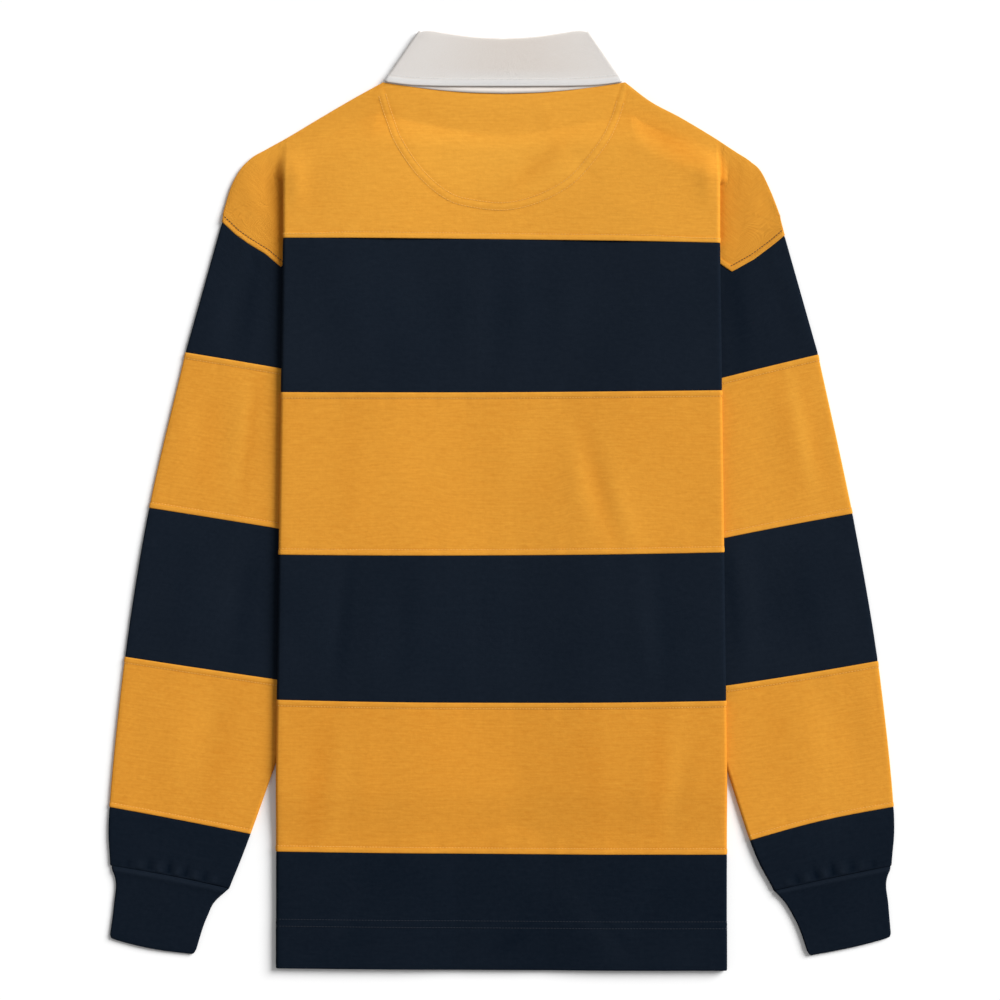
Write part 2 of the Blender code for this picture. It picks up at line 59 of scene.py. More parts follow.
# The layers of the laid shirt, from the table up
WALL = 1.2
PITCH = 1.5
SEAM_GAP = 0.12
LEAST_HEIGHT = 0.03
LOWER_FRONT, LOWER_BACK, FLAP_BACK, FLAP_FRONT, MAIN_FRONT, MAIN_BACK = (
    WALL / 2 + PITCH * layer for layer in range(6))
CENTRE_FRONT, CENTRE_BACK, NECK_FRONT = LOWER_FRONT, FLAP_BACK, LOWER_BACK

# Outline of the laid body
EDGE_TOP, EDGE_TOP_Y = 179.2, 213.0
EDGE_LOW, EDGE_LOW_Y = 185.0, -229.0
# The pleat's top, the underarm, and the slope of the fold between them
PLEAT_Y = 270.6
UNDERARM_X, UNDERARM_Y = 93.0, 16.4
PLEAT_SLOPE = (EDGE_TOP - UNDERARM_X) / (PLEAT_Y - UNDERARM_Y)
FOLD_DEPTH = 1.5 * PITCH + WALL / 2
# Where and how far the body sinks below the sleeves, how its front drops beside them, and how its
# back is slung between them
SETTLE_TOP, SETTLE_LOW = -232.0, -284.0
SETTLE_DEPTH = 2 * PITCH
DROOP_MARGIN, DROOP_WIDTH = 6.0, 30.0
# Where the first stretch of a section ends, beside the placket's slot
NEAR_COLUMN = 36.0
SLING_DROP, SLING_WIDTH, SLING_TOP = 2.4, 84.0, 140.0

# Seams between the bands: height at the left fold, in the middle and at the right fold
SEAMS = (
    (214.8, 213.7, 210.5),
    (88.0, 88.0, 89.6),
    (-44.5, -45.2, -42.6),
    (-163.6, -166.3, -164.4),
    (-287.8, -290.0, -290.4),
    (-383.6, -385.2, -385.6),
)

# Neck, shoulder and armhole of the left (-1) and right (1) side: distance from the middle, y
NECK_X, NECK_Y = 99.2, 342.4
NECK_SHIFT = 2.1
SHIFT_RISE, SHIFT_FALL = (262.0, 332.0), (100.0, 176.0)
SHOULDERS = {
    -1: np.array((
        (99.2, 342.4), (120.5, 330.5), (149.1, 313.2), (177.5, 296.0),
        (192.5, 287.8), (207.0, 278.8), (214.4, 270.6), (222.6, 254.2), (228.9, 232.5))),
    1: np.array((
        (99.2, 342.4), (118.0, 328.2), (147.0, 313.2), (177.5, 295.2),
        (190.0, 286.9), (205.0, 277.0), (212.0, 270.6), (220.2, 254.2), (228.9, 231.5))),
}
ARMHOLES = {
    -1: np.array((
        (159.6, 213.0), (171.0, 203.0), (181.0, 191.5), (194.1, 202.4), (207.7, 210.6),
        (218.0, 218.0), (229.3, 228.6))),
    1: np.array((
        (159.6, 213.0), (170.0, 203.0), (180.0, 193.6), (189.0, 187.5), (206.7, 197.5),
        (221.3, 208.4), (232.3, 217.5))),
}
# The sleeve head's hidden end, and how far its row of stitches is from the armhole and runs past it
SLEEVE_HEAD_HIDDEN = ((152.0, 190.0), (168.0, 190.8))
ARMHOLE_LINE, ARMHOLE_REACH = 4.2, 1.6
SHOULDER_COLUMNS = np.array((193.0, 200.5, 208.5, 216.6, 223.5, 228.4))

# The top band's pleat: shares of the way up at which it closes, lies down and unfolds
PLEAT_APEX = 0.5
PLEAT_OPEN = (0.6, 0.92)
PLEAT_UNFOLD = (0.5, 0.66)
# How wide its folds spread where it lies flat, its least flap, and the room kept between its layers
FOLD_SPREAD, FLAP_LEAST, PLEAT_CLEARANCE = 10.0, 1.2, 0.6

# Columns of the top band: x at its seam, at the back's neck and at the front's neck, and rise
TOP_COLUMNS = np.array((
    (0.0, 0.0, 0.0, 0.0),
    (16.3, 16.3, 16.3, 0.0),
    (36.0, 28.3, 56.7, 0.0),
    (64.0, 57.7, 81.0, 0.0),
    (94.0, 79.0, 93.6, 0.0),
    (123.6, NECK_X, NECK_X, 0.0),
    (133.6, 124.0, 124.0, 1 / 3),
    (143.6, 150.0, 150.0, 2 / 3),
    (153.6, 170.0, 170.0, 1.0),
    (165.0, 173.2, 173.2, 1.0),
    (EDGE_TOP - FOLD_DEPTH, EDGE_TOP - FOLD_DEPTH, EDGE_TOP - FOLD_DEPTH, 1.0),
))
# Steps between those columns at the back and at the front, the front's rows, the run of the back's
TOP_FINE = (8, 10, 15, 16, 15, 5, 5, 5, 6, 6)
TOP_COARSE = (1, 2, 3, 3, 3, 2, 2, 2, 2, 2)
TOP_ROWS = np.array((
    0.0, 1.0, 4.5, 6.0, 16.0, 28.0, 40.0, 52.0, 60.0, 64.0,
    68.0, 72.0, 76.0, 82.0, 90.0, 98.0, 107.0, 115.0, 125.0))
TOP_RUN = 1.9
# Columns of the cap, which carry the armhole's stitches
CAP_COLUMNS = 34

# Placket, hidden under the laid shirt
SLOT_HALF, SLOT_BELOW, NEAR_SLOT_END = 16.3, 1.0, 56.0
PLACKET_HALF, PLACKET_LOW, PLACKET_TOP = 16.0, 108.0, 257.7
PLACKET_BOW, PLACKET_ROUND = 0.15, 1.2
BUTTON_THICK = 2.0
PLACKET_OUTER = BUTTON_THICK + 0.3 + WALL / 2
PLACKET_INNER = PLACKET_OUTER + PITCH
BACK_OVER_PLACKET = PLACKET_INNER + PITCH
PLACKET_RISE = (65.0, 105.0)
PLACKET_FALL = (262.0, 312.0)
LEAF_RISE = (170.0, 213.0)

# Sleeves and cuffs: outer x and y, inner x and y, and how far each station bows
SLEEVES = {
    "left": (
        (259.6, 121.0, 122.7, 97.5, 0.3),
        (289.3, -6.2, 114.4, -34.8, 0.3),
        (309.2, -128.8, 161.6, -150.8, -0.2),
        (322.0, -251.5, 205.9, -273.8, 0.2),
        (321.5, -299.6, 223.4, -318.4, 1.0),
    ),
    "right": (
        (260.1, 119.3, 116.0, 83.0, 0.6),
        (288.1, -10.9, 120.0, -44.6, 1.0),
        (309.0, -132.2, 163.5, -155.5, -0.8),
        (322.0, -251.3, 203.8, -279.0, 2.2),
        (320.4, -300.0, 223.4, -320.4, 0.5),
    ),
}
CUFFS = {
    "left": (
        (320.2, -300.1, 223.8, -318.9, 1.0),
        (316.9, -312.6, 234.4, -328.6, -0.5),
        (318.2, -330.6, 241.9, -342.6, -1.0),
        (321.9, -359.5, 251.8, -372.5, -2.0),
    ),
    "right": (
        (319.6, -300.5, 224.0, -320.8, 0.5),
        (316.1, -312.6, 231.6, -329.0, -0.5),
        (317.6, -330.6, 241.2, -344.6, -1.0),
        (320.0, -358.6, 252.1, -373.6, -1.2),
    ),
}
CUFF_HEIGHTS = np.array((0.0, 10.5, 27.0, 58.0))
SLEEVE_KNOTS = (0.0, 0.12, 0.3, 0.5, 0.7, 0.88, 1.0)
# Columns of a sleeve: shares across its upper layer, steps round its fold, shares across its
# lower layer; and the radius of a cuff's corners, with how close to its sides they start
SLEEVE_ACROSS = np.linspace(0.0, 1.0, 49)
SLEEVE_ARC = 8
SLEEVE_UNDER = np.linspace(1.0, 0.0, 17)[1:]
SLEEVE_SHARES = np.concatenate((SLEEVE_ACROSS, np.ones(SLEEVE_ARC), SLEEVE_UNDER))
CORNER, CORNER_POWER = 2.6, 12

# Collar: x and y of its base, x and y of the way it leans, height of the roll and of the leaf's edge
COLLAR_BACK = (
    (0.0, 333.1, 0.0, 1.0, 43.9, 6.2),
    (28.3, 333.9, -0.07, 0.998, 44.6, 5.4),
    (57.7, 336.4, -0.2, 0.98, 46.2, 3.2),
    (79.0, 339.2, -0.38, 0.925, 48.0, 1.4),
    (96.2, 341.9, -0.565, 0.825, 49.5, 1.0),
)
COLLAR_FRONT = (
    (96.2, 341.9, -0.565, 0.825, 49.5, 1.0),
    (93.6, 316.0, -0.72, 0.69, 42.0, -8.0),
    (81.0, 288.0, -0.68, 0.73, 36.0, -18.0),
    (56.7, 268.0, -0.45, 0.89, 32.0, -30.0),
    (17.0, 258.6, -0.35, 0.937, 29.0, -40.0),
)
COLLAR_CORE = (CENTRE_BACK + NECK_FRONT) / 2
# Height of the seam between the stand and the leaf, below the roll
STAND_TOP = 8.0
# Rows of the leaf as shares of the way down it: even, then closer beside its sewn edge
LEAF_SHARES = np.concatenate((np.linspace(0.0, 0.8, 14), (
    0.83, 0.86, 0.88, 0.9, 0.915, 0.93, 0.95, 0.965, 0.98, 0.992, 1.0)))
# The leaf's row of stitches, from its edge, and where its ledge ends in the form and in the tone
LEAF_STITCH, LEAF_LEDGE_END, LEAF_TONE_END = 5.4, (4.2, 7.4), (3.6, 7.0)
# The leaf's soft shade beside its middle: place, width and where it starts above the ledge
LEAF_SHADE_X, LEAF_SHADE_WIDTH, LEAF_SHADE_START = 10.0, 60.0, (6.0, 16.0)
STAND_TONE, STAND_BULGE = -0.16, 0.9

# Rows beside a seam, as distances from it, and the run of the ordinary rows between
SEAM_ROWS = (0.0, 0.3, 0.7, 1.3, 2.2, 3.2, 3.9, 4.5, 5.1, 6.0, 7.6)
ROW_RUN = 2.8
STITCH_LINE = 4.5
# Half length of a stitch as a share of the pitch, and how far ahead its direction is read
STITCH_SHARE, STITCH_LOOK = 0.36, 0.4
# The band with the hem, its two rows of stitches above the hem's edge, and how deep they pull in
LAST_BAND, HEM_LINES, HEM_DEPTH = 6, (34.9, 39.9), 0.25

# The half-moon facing inside the back of the neck: its inner row of stitches, x, y
HALF_MOON = np.array((
    (-95.5, 334.6), (-89.0, 314.1), (-80.8, 293.6), (-63.1, 268.6), (-41.1, 250.9), (-19.3, 245.2),
    (2.9, 243.5), (25.0, 248.1), (46.8, 258.3), (61.4, 270.0), (80.4, 293.6), (89.3, 311.0),
    (95.1, 328.8),
))
HALF_MOON_WIDTH = 5.9
# Height and lightness of its band, of the cloth inside it and of its two rows; the rows' darkness is
# painted shade in their grooves
MOON_FORM, MOON_TONE_AND_SHADE = (0.26, 0.08, -0.3), (0.1, 0.06, -0.3)
# How far from the middle and how low its form reaches, and the columns that carry its stitches
MOON_REACH, MOON_COLUMNS = (122.0, 228.0), 130.0

# Soft creases: x, y, angle from +Y in degrees, length, half width, bend, depth
BODY_CREASES = np.array((
    (80, 10, -15, 130, 9, 3, -0.75), (62, 16, -12, 110, 10, 2, 0.45), (99, -10, -18, 90, 9, 1, 0.4),
    (-22, 150, 2, 130, 16, -2, 0.45), (38, 148, -4, 120, 11, 3, -0.35), (-118, 146, 6, 100, 16, 2, 0.25),
    (116, 152, -5, 110, 14, 2, 0.25), (-104, -100, 5, 120, 10, 2, 0.4), (-134, -96, 3, 110, 9, -2, -0.35),
    (-6, -108, 0, 120, 13, 0, 0.35), (114, -104, -6, 120, 10, 2, 0.4), (140, -98, 4, 100, 9, 2, -0.3),
    (-146, -230, 8, 100, 9, 2, -0.45), (-112, -226, 5, 110, 10, 2, 0.35), (118, -232, 10, 110, 10, 2, 0.45),
    (144, -236, 14, 110, 9, 2, -0.5), (12, -226, -20, 80, 15, 2, -0.25), (-60, -222, 30, 90, 16, 3, 0.25),
    (118, -338, 32, 90, 7, 2, -0.5), (98, -332, 30, 80, 8, 2, 0.4), (-60, -340, -12, 70, 10, 0, -0.3),
    (-20, -352, 24, 60, 8, 1, 0.3), (58, 282, -38, 90, 8, 4, -0.4), (44, 300, -30, 80, 8, 4, 0.35),
    (-52, 282, 30, 80, 10, -3, -0.3), (10, 262, 4, 60, 12, 0, 0.3), (120, 318, -58, 60, 8, 1, -0.25),
    (-128, 314, 60, 60, 8, 1, -0.25), (20, 30, 38, 130, 18, 6, 0.3), (-70, 42, -30, 110, 18, 6, -0.25),
    (-120, 0, 12, 120, 13, 2, 0.3), (-86, 226, 62, 80, 9, 3, 0.25), (100, 240, -66, 80, 9, 3, 0.2),
    (-168, 262, 3, 70, 8, 1, 1.1), (168, 266, -4, 74, 8, -1, 1.1), (-188.5, 262, 4, 60, 6, 1, -0.5),
    (188.5, 264, -5, 64, 6, -1, -0.5), (-206, 250, -16, 56, 9, 2, 0.7), (206, 240, 14, 60, 9, -2, 0.7),
))
# Painted light and shade: lighter and darker streaks along the creases, and soft patches near the
# neck and shoulders: the same terms, and a tone as the last
BODY_PAINTED_SHADING = np.array((
    (81, 12, -15, 210, 8, 2, -0.2), (66, 16, -14, 168, 9, 2, 0.14), (98, 2, -16, 168, 9, 2, 0.13),
    (-124, 30, 4, 168, 9, 2, -0.11), (20, 40, 24, 168, 14, 3, 0.09), (-128, -98, 6, 182, 7, 2, -0.18),
    (-136, -96, 5, 168, 5, 2, 0.16), (-76, -102, 3, 182, 8, -2, -0.14), (-24, -100, -2, 168, 9, 2, 0.12),
    (120, -104, -5, 182, 8, 2, 0.16), (136, -100, -4, 168, 7, 2, -0.13), (-20, 154, 1, 196, 11, 0, 0.14),
    (2, 150, 2, 196, 10, 0, -0.11), (-92, 150, -3, 182, 12, 2, -0.1), (60, 152, 3, 182, 11, 2, 0.08),
    (-150, -232, 8, 168, 9, 2, -0.22), (-132, -226, 6, 168, 8, 2, 0.14), (72, -214, -8, 154, 9, 2, -0.11),
    (128, -222, 3, 182, 7, 2, -0.18), (142, -226, 4, 182, 8, 2, 0.16), (8, -362, 44, 46, 7, 1, -0.2),
    (80, -350, -40, 120, 7, 2, 0.16), (94, -356, -40, 110, 6, 2, -0.12), (-130, -344, 20, 70, 8, 1, 0.1),
    (126, 302, -63, 110, 12, 1, -0.24), (150, 284, -63, 100, 11, 1, -0.3), (-98, 312, 70, 60, 12, 1, -0.2),
    (0, 304, 90, 300, 12, 0, -0.15), (42, 286, 38, 70, 7, 2, -0.27), (22, 268, 46, 60, 7, 2, -0.25),
    (58, 268, 40, 60, 8, 2, 0.14), (130, 300, -70, 70, 7, 2, -0.13), (-150, 250, 4, 70, 9, 1, -0.09),
    (0, 286, 90, 300, 30, 0, 0.24),
))
# Share of a crease that hollows the hidden layer under it, the most it hollows, and how far cloth
# that lies on air is lifted: the body, a sleeve and a cuff
HOLLOW, HOLLOW_MOST = 0.4, 0.8
BODY_LIFT, SLEEVE_LIFT, CUFF_LIFT = 0.45, 0.35, 0.3
# How far the knit of each further band of the body and of a sleeve is moved along
BODY_KNIT_STEP, SLEEVE_KNIT_STEP = 37.0, 41.0
# How light each piece of cloth is: the bands of the body, with painted light, lighter at the top
# band and darker towards the hem; the bands of a sleeve, a cuff, and the yellow bands of each sleeve
BAND_TONES_WITH_PAINTED_LIGHT = {1: 0.14, 2: 0.06, 3: -0.1, 4: -0.06, 5: -0.24, 6: -0.34}
SLEEVE_BAND_TONES = (0.0, 0.08, 0.0, 0.0, -0.25)
CUFF_TONE = -0.28
SLEEVE_TONES = {"left": -0.2, "right": -0.12}
# The creases of each sleeve, and their painted light and shade: streaks along the creases and painted
# shadow beside the body's folds
SLEEVE_CREASES = {
    "right": np.array((
        (246, 150, -14, 90, 8, 2, 0.4), (228, 160, -8, 80, 7, 2, -0.35), (214, 208, 18, 44, 6, 1, -0.35),
        (226, 190, -30, 60, 7, 1, 0.3), (242, 56, -8, 110, 12, 2, 0.5), (214, 44, -4, 110, 10, 2, -0.3),
        (262, 40, -12, 90, 8, 2, -0.3), (250, -70, -9, 110, 12, 1, 0.35), (222, -78, -14, 100, 9, 2, -0.3),
        (286, -90, -10, 80, 8, 2, -0.25), (250, -190, -12, 120, 13, 2, 0.35),
        (288, -206, -8, 90, 9, 2, -0.3), (300, -170, -9, 90, 8, 2, 0.25),
    )),
    "left": np.array((
        (-238, 150, 16, 90, 9, -2, 0.4), (-222, 146, 12, 90, 7, 2, -0.35), (-204, 196, -24, 40, 5, 1, -0.5),
        (-212, 208, -12, 50, 7, 1, 0.3), (-262, 60, 10, 110, 11, 2, 0.5), (-232, 44, 6, 110, 10, 2, -0.35),
        (-214, 60, 8, 90, 7, 2, 0.35), (-270, -80, 9, 110, 12, 1, 0.35), (-236, -70, 12, 100, 9, 2, -0.3),
        (-268, -196, 10, 120, 13, 2, 0.35), (-240, -186, 13, 90, 9, 2, -0.3),
        (-300, -186, 6, 90, 8, 2, -0.25),
    )),
}
SLEEVE_PAINTED_SHADING = {
    "right": np.array((
        (194, 160, -6, 154, 8, 1, -0.3), (246, 58, -11, 182, 5, 1, 0.26), (232, 56, -10, 182, 8, 1, -0.17),
        (260, 44, -12, 154, 6, 1, -0.12), (190, -84, -6, 168, 6, 1, -0.3), (206, -82, -8, 168, 8, 1, 0.17),
        (252, -84, -10, 154, 10, 1, -0.12), (228, -200, -12, 168, 12, 1, -0.11),
        (266, -196, -10, 168, 12, 1, 0.11),
    )),
    "left": np.array((
        (-214, 56, 8, 182, 9, 1, 0.22), (-205, 56, 7, 182, 4, 1, -0.26), (-240, 48, 8, 168, 8, 1, -0.11),
        (-206, 160, 7, 154, 6, 1, -0.2), (-224, 152, 10, 154, 9, 1, 0.14), (-226, -78, 9, 168, 8, 1, 0.16),
        (-208, -80, 8, 168, 7, 1, -0.16), (-262, -84, 8, 168, 10, 1, -0.12),
        (-252, -196, 10, 168, 12, 1, 0.11), (-228, -200, 12, 168, 8, 1, -0.11),
    )),
}
# Gathers above each cuff seam: share across, length, half width, depth; and the strength of their
# painted light and shade, and of the painted highlight along the cuff's seam
GATHERS = np.array((
    (0.14, 12.0, 2.2, 0.45), (0.22, 18.0, 2.0, -0.5), (0.3, 15.0, 2.4, 0.55), (0.38, 22.0, 2.0, -0.6),
    (0.45, 16.0, 1.8, 0.6), (0.52, 24.0, 2.2, -0.65), (0.6, 18.0, 2.2, 0.6), (0.68, 20.0, 2.4, -0.5),
    (0.76, 14.0, 2.6, 0.45), (0.86, 13.0, 2.4, -0.35),
))
GATHER_PAINTED_SHADING, CUFF_PAINTED_HIGHLIGHT = 0.9, 0.5
# The ridge beside a cuff's seam: distance, height, width
CUFF_RIDGE = (2.8, 0.42, 2.0)
# Soft steps of a seam line along its length: wave length, phase, height
PUCKERS = ((13.0, 0.4, 0.05), (21.0, 1.9, 0.06), (37.0, 3.1, 0.08))
BODY_PUCKER_STEP, SLEEVE_PUCKER_STEP = 60.0, 40.0
# The sewn-down ledge of a yellow band: its height, and where it ends in the form and in the painted
# highlight
LEDGE_HEIGHT, LEDGE_END, LEDGE_HIGHLIGHT_END = 0.34, (4.2, 5.8), (3.8, 4.6)
GROOVE_WIDTH = 0.8
# Painted highlight on the ledge and painted shade in its row of stitches: how strong each is, and the
# width of the shade
LEDGE_PAINTED_HIGHLIGHT, ROW_PAINTED_SHADE, ROW_WIDTH = 0.1, 0.4, 0.7
# Depth and run of the lip where cloth turns in at a seam, and the dip of navy beside it
LIP_DEPTH, LIP_RUN = 0.3, 0.35
DIP_DEPTH, DIP_WIDTH = 0.12, 1.6
# How far the puckers reach from a seam
PUCKER_REACH = {"yellow": 14.0, "navy": 10.0}

# Material and slot of each colour of jersey, and of the twill
COLOURS = {
    "yellow": ("yellow_jersey_cloth", "yellow_jersey"),
    "navy": ("navy_jersey_cloth", "navy_jersey"),
}
TWILL = ("off_white_twill_cloth", "white_twill")

# Finish of each cloth: colour, weave, streaks of the knit, swing of each channel, mottle, roughness,
# gloss, height of the weave in metres
CLOTHS = {
    "yellow_jersey_cloth": ("yellow", "jersey_knit", 0.7, (0.12, 0.21, 0.35), 0.25, 0.92, 0.08, 0.00016),
    "navy_jersey_cloth": ("navy", "jersey_knit", 0.3, (0.45, 0.35, 0.28), 0.5, 1.0, 0.03, 0.00016),
    "off_white_twill_cloth": ("off_white", "twill_weave", None, (0.09, 0.2, 0.3), 0.12, 0.9, 0.08, 0.00014),
}
# Each thread, and the colour setting that it takes
THREADS = {"yellow_thread": "yellow_thread", "navy_thread": "navy_thread", "off_white_thread": "off_white"}

# Light and camera: the sun's strength, spread in degrees and the way it comes from
SUN_STRENGTH, SUN_SPREAD, SUN_FROM = 4.45, 34.0, (0.70, 0.46, 0.50)
ROOM_STRENGTH = 0.33
FLOOR_HALF, FLOOR_COLOUR = 3000.0, (0.97, 0.97, 0.97, 1.0)
CAMERA_PLACE, LENS, SENSOR = (-1.23, 0.0, 1940.0), 85.0, 36.0


def smooth(value):
    """Ease from 0 to 1: 3 t squared less 2 t cubed, with t held between 0 and 1."""
    t = np.clip(value, 0.0, 1.0)
    return t * t * (3.0 - 2.0 * t)


def ramp(value, limits):
    """Ease from 0 at the first limit to 1 at the second."""
    return smooth((value - limits[0]) / (limits[1] - limits[0]))


def mix(a, b, share):
    """Straight mix of two values."""
    return a + (b - a) * share


def bump(value, width):
    """Bell: e to the power of minus the square of value over width."""
    return np.exp(-(value / width) ** 2)


def through(at, knots, values):
    """Cubic curve through values at knots; its slope at a knot is the mean of the runs beside it,
    weighted by the other run's length."""
    knots, values = np.asarray(knots, float), np.asarray(values, float)
    gaps = np.diff(knots).reshape((-1,) + (1,) * (values.ndim - 1))
    runs = np.diff(values, axis=0) / gaps
    slopes = np.concatenate((
        runs[:1],
        (runs[:-1] * gaps[1:] + runs[1:] * gaps[:-1]) / (gaps[1:] + gaps[:-1]),
        runs[-1:]))
    cell = np.clip(np.searchsorted(knots, at, side="right") - 1, 0, len(knots) - 2)
    gap = gaps[cell]
    t = ((at - knots[cell]) / np.diff(knots)[cell]).reshape(gap.shape)
    return (values[cell] * (1 + 2 * t) * (1 - t) ** 2 + values[cell + 1] * t * t * (3 - 2 * t)
            + gap * (slopes[cell] * t * (1 - t) ** 2 - slopes[cell + 1] * t * t * (1 - t)))


def straight(at, knots, values):
    """Straight runs through rows of values at knots."""
    return np.stack([np.interp(at, knots, column) for column in np.asarray(values).T], axis=-1)


def edge_x(y):
    """Half width of the laid body, from its middle to the fold at its side."""
    return mix(EDGE_TOP, EDGE_LOW, np.clip((EDGE_TOP_Y - y) / (EDGE_TOP_Y - EDGE_LOW_Y), 0, 1))


def flap_x(y):
    """Where the part that is turned under ends: at the pleat's lower fold, then the side seam."""
    return np.clip(edge_x(y) - PLEAT_SLOPE * (PLEAT_Y - y), UNDERARM_X, edge_x(y))


def settle(y):
    """How far the body sinks below the underarm, where no sleeve lies under it."""
    return SETTLE_DEPTH * smooth((SETTLE_TOP - y) / (SETTLE_TOP - SETTLE_LOW))


def seam_y(seam, x):
    """Height of a seam between two bands: a parabola through its three measured points."""
    left, middle, right = SEAMS[seam]
    t = x / EDGE_LOW
    return middle + (right - left) / 2 * t + ((right + left) / 2 - middle) * t * t


def centre_level(layer, x, y):
    """Height of the middle of the front or back: it rises over the placket and the collar."""
    over = ramp(y, PLACKET_RISE) * (1.0 - ramp(y, PLACKET_FALL))
    near = 1.0 - ramp(np.abs(x), (SLOT_HALF, NEAR_SLOT_END))
    if layer == "back":
        return mix(CENTRE_BACK, BACK_OVER_PLACKET, near * over)
    level = mix(CENTRE_FRONT, NECK_FRONT, ramp(y, LEAF_RISE))
    return mix(level, PLACKET_OUTER, near ** 3 * over)


def slung_level(layer, x, y, main_z, rise_end):
    """Height of a layer from its middle out to where it lies on the sleeve.

    The front drops at once to the table.  The back is slung: it rises gently over a wide run, and
    never lies lower than the cloth under it.
    """
    steep = smooth((x - rise_end + DROOP_WIDTH) / DROOP_WIDTH)
    low = mix(centre_level(layer, x, y), main_z, steep)
    if layer == "front":
        return low
    slack = SLING_DROP * (1.0 - smooth((x - rise_end + SLING_WIDTH) / SLING_WIDTH))
    return np.maximum(low, main_z - slack)


def creases(table, x, y):
    """Sum of soft troughs and ridges: each is a bell across its line, eased off towards its ends."""
    total = np.zeros(np.broadcast(x, y).shape)
    for cx, cy, angle, length, width, bend, depth in table:
        c, s = math.cos(math.radians(angle)), math.sin(math.radians(angle))
        along = (y - cy) * c + (x - cx) * s
        across = (x - cx) * c - (y - cy) * s
        reach = 2.0 * along / length
        across = across - bend * reach ** 2
        total += depth * bump(across, width) * (1.0 - smooth(np.abs(reach)))
    return total


def swell(x, y):
    """Uneven lift of cloth that lies on air: three slow waves that cross each other."""
    return (0.22 * np.sin(x / 41.0 + 0.6) * np.sin(y / 53.0 + 1.1)
            + 0.12 * np.sin(x / 19.0 - y / 31.0 + 2.0)
            + 0.08 * np.sin(x / 27.0 + y / 23.0 + 0.3))


def seam_relief(distance, along, colour):
    """Form of cloth beside a seam.  Yellow has the sewn-down ledge with its stitch groove; navy dips.

    distance is from the seam and along is the place on it; puckers are slow waves that fade
    away from the seam.
    """
    ripple = sum(high * np.sin(2 * math.pi * along / length + phase)
                 for length, phase, high in PUCKERS)
    ripple = ripple * bump(distance, PUCKER_REACH[colour])
    lip = -LIP_DEPTH * np.exp(-distance / LIP_RUN)
    if colour == "yellow":
        ledge = LEDGE_HEIGHT * (1.0 - ramp(distance, LEDGE_END))
        groove = -LEDGE_HEIGHT * bump(distance - STITCH_LINE, GROOVE_WIDTH)
        return lip + ledge + groove + ripple
    return lip - DIP_DEPTH * bump(distance, DIP_WIDTH) + ripple


def seam_painted_highlight_and_shade(distance, colour):
    """Tone beside a seam of yellow cloth: a painted highlight on the sewn-down ledge, painted shade in
    the stitches' row.
    """
    if colour == "navy":
        return 0.0 * distance
    ledge = LEDGE_PAINTED_HIGHLIGHT * (1.0 - ramp(distance, LEDGE_HIGHLIGHT_END))
    return ledge - ROW_PAINTED_SHADE * bump(distance - STITCH_LINE, ROW_WIDTH)


def resting(form, normals):
    """Form kept from reaching below a layer that faces down, so that it rests flat."""
    return np.where(normals[..., 2] < 0, np.minimum(form, 0.0), form)


def row_places(length, first, last, spacing=ROW_RUN):
    """Distances of rows from the first edge of a band: close together beside a seam."""
    start = np.array(SEAM_ROWS if first else SEAM_ROWS[:3])
    end = length - np.array(SEAM_ROWS if last else SEAM_ROWS[:3])[::-1]
    count = max(2, int(round((end[0] - start[-1]) / spacing)))
    return np.concatenate((start, np.linspace(start[-1], end[0], count + 1)[1:-1], end))


def turn(centre_x, centre_z, radius, side, steps):
    """Half turn from above a fold's centre to below it: a half circle out on the given side."""
    angle = math.pi * np.arange(1, steps + 1) / steps
    return centre_x + side * radius * np.sin(angle), centre_z + radius * np.cos(angle)


def surface_normals(grid):
    """Unit normals of a grid of points: the cross product of its steps along and across."""
    down, across = np.gradient(grid, axis=0), np.gradient(grid, axis=1)
    normal = np.cross(down, across)
    return normal / np.maximum(np.linalg.norm(normal, axis=2, keepdims=True), TINY)


def arc_lengths(grid, axis):
    """Length along the grid from its first row or column, in that direction."""
    steps = np.linalg.norm(np.diff(grid, axis=axis), axis=2)
    start = np.zeros_like(np.take(steps, [0], axis=axis))
    return np.concatenate((start, np.cumsum(steps, axis=axis)), axis=axis)


def half_columns(layer, y, columns, arc, flap):
    """One half of a body section at heights y: distance from the middle, height and airiness.

    Four straight stretches (to beside the slot, to where the rise starts, up the rise, to the
    fold), then a half circle round the fold and the flap under it.  columns gives the steps of each stretch.
    """
    main_z, flap_z = (MAIN_BACK, FLAP_BACK) if layer == "back" else (MAIN_FRONT, FLAP_FRONT)
    sink = settle(y)
    rise_end = flap_x(y) - DROOP_MARGIN
    rise_start = rise_end - DROOP_WIDTH
    fold = edge_x(y) - FOLD_DEPTH
    stops = np.concatenate((0 * y, 0 * y + NEAR_COLUMN, rise_start, rise_end, fold), axis=1)
    place = np.concatenate([i + np.arange(n) / n for i, n in enumerate(columns)] + [[4.0]])
    cell = np.minimum(place.astype(int), 3)
    x = mix(stops[:, cell], stops[:, cell + 1], place - cell)
    z = slung_level(layer, x, y, main_z - sink, rise_end)
    turn_x, turn_z = turn(fold, (main_z + flap_z) / 2 - sink, (main_z - flap_z) / 2, 1, arc)
    share = np.arange(1, flap + 1) / flap
    under_x = mix(fold, flap_x(y), share)
    under_z = np.broadcast_to(flap_z - sink, under_x.shape)
    air = np.concatenate((np.ones(len(place)), 1.0 - np.arange(1, arc + 1) / arc, np.zeros(flap)))
    return np.hstack((x, turn_x, under_x)), np.hstack((z, turn_z, under_z)), air


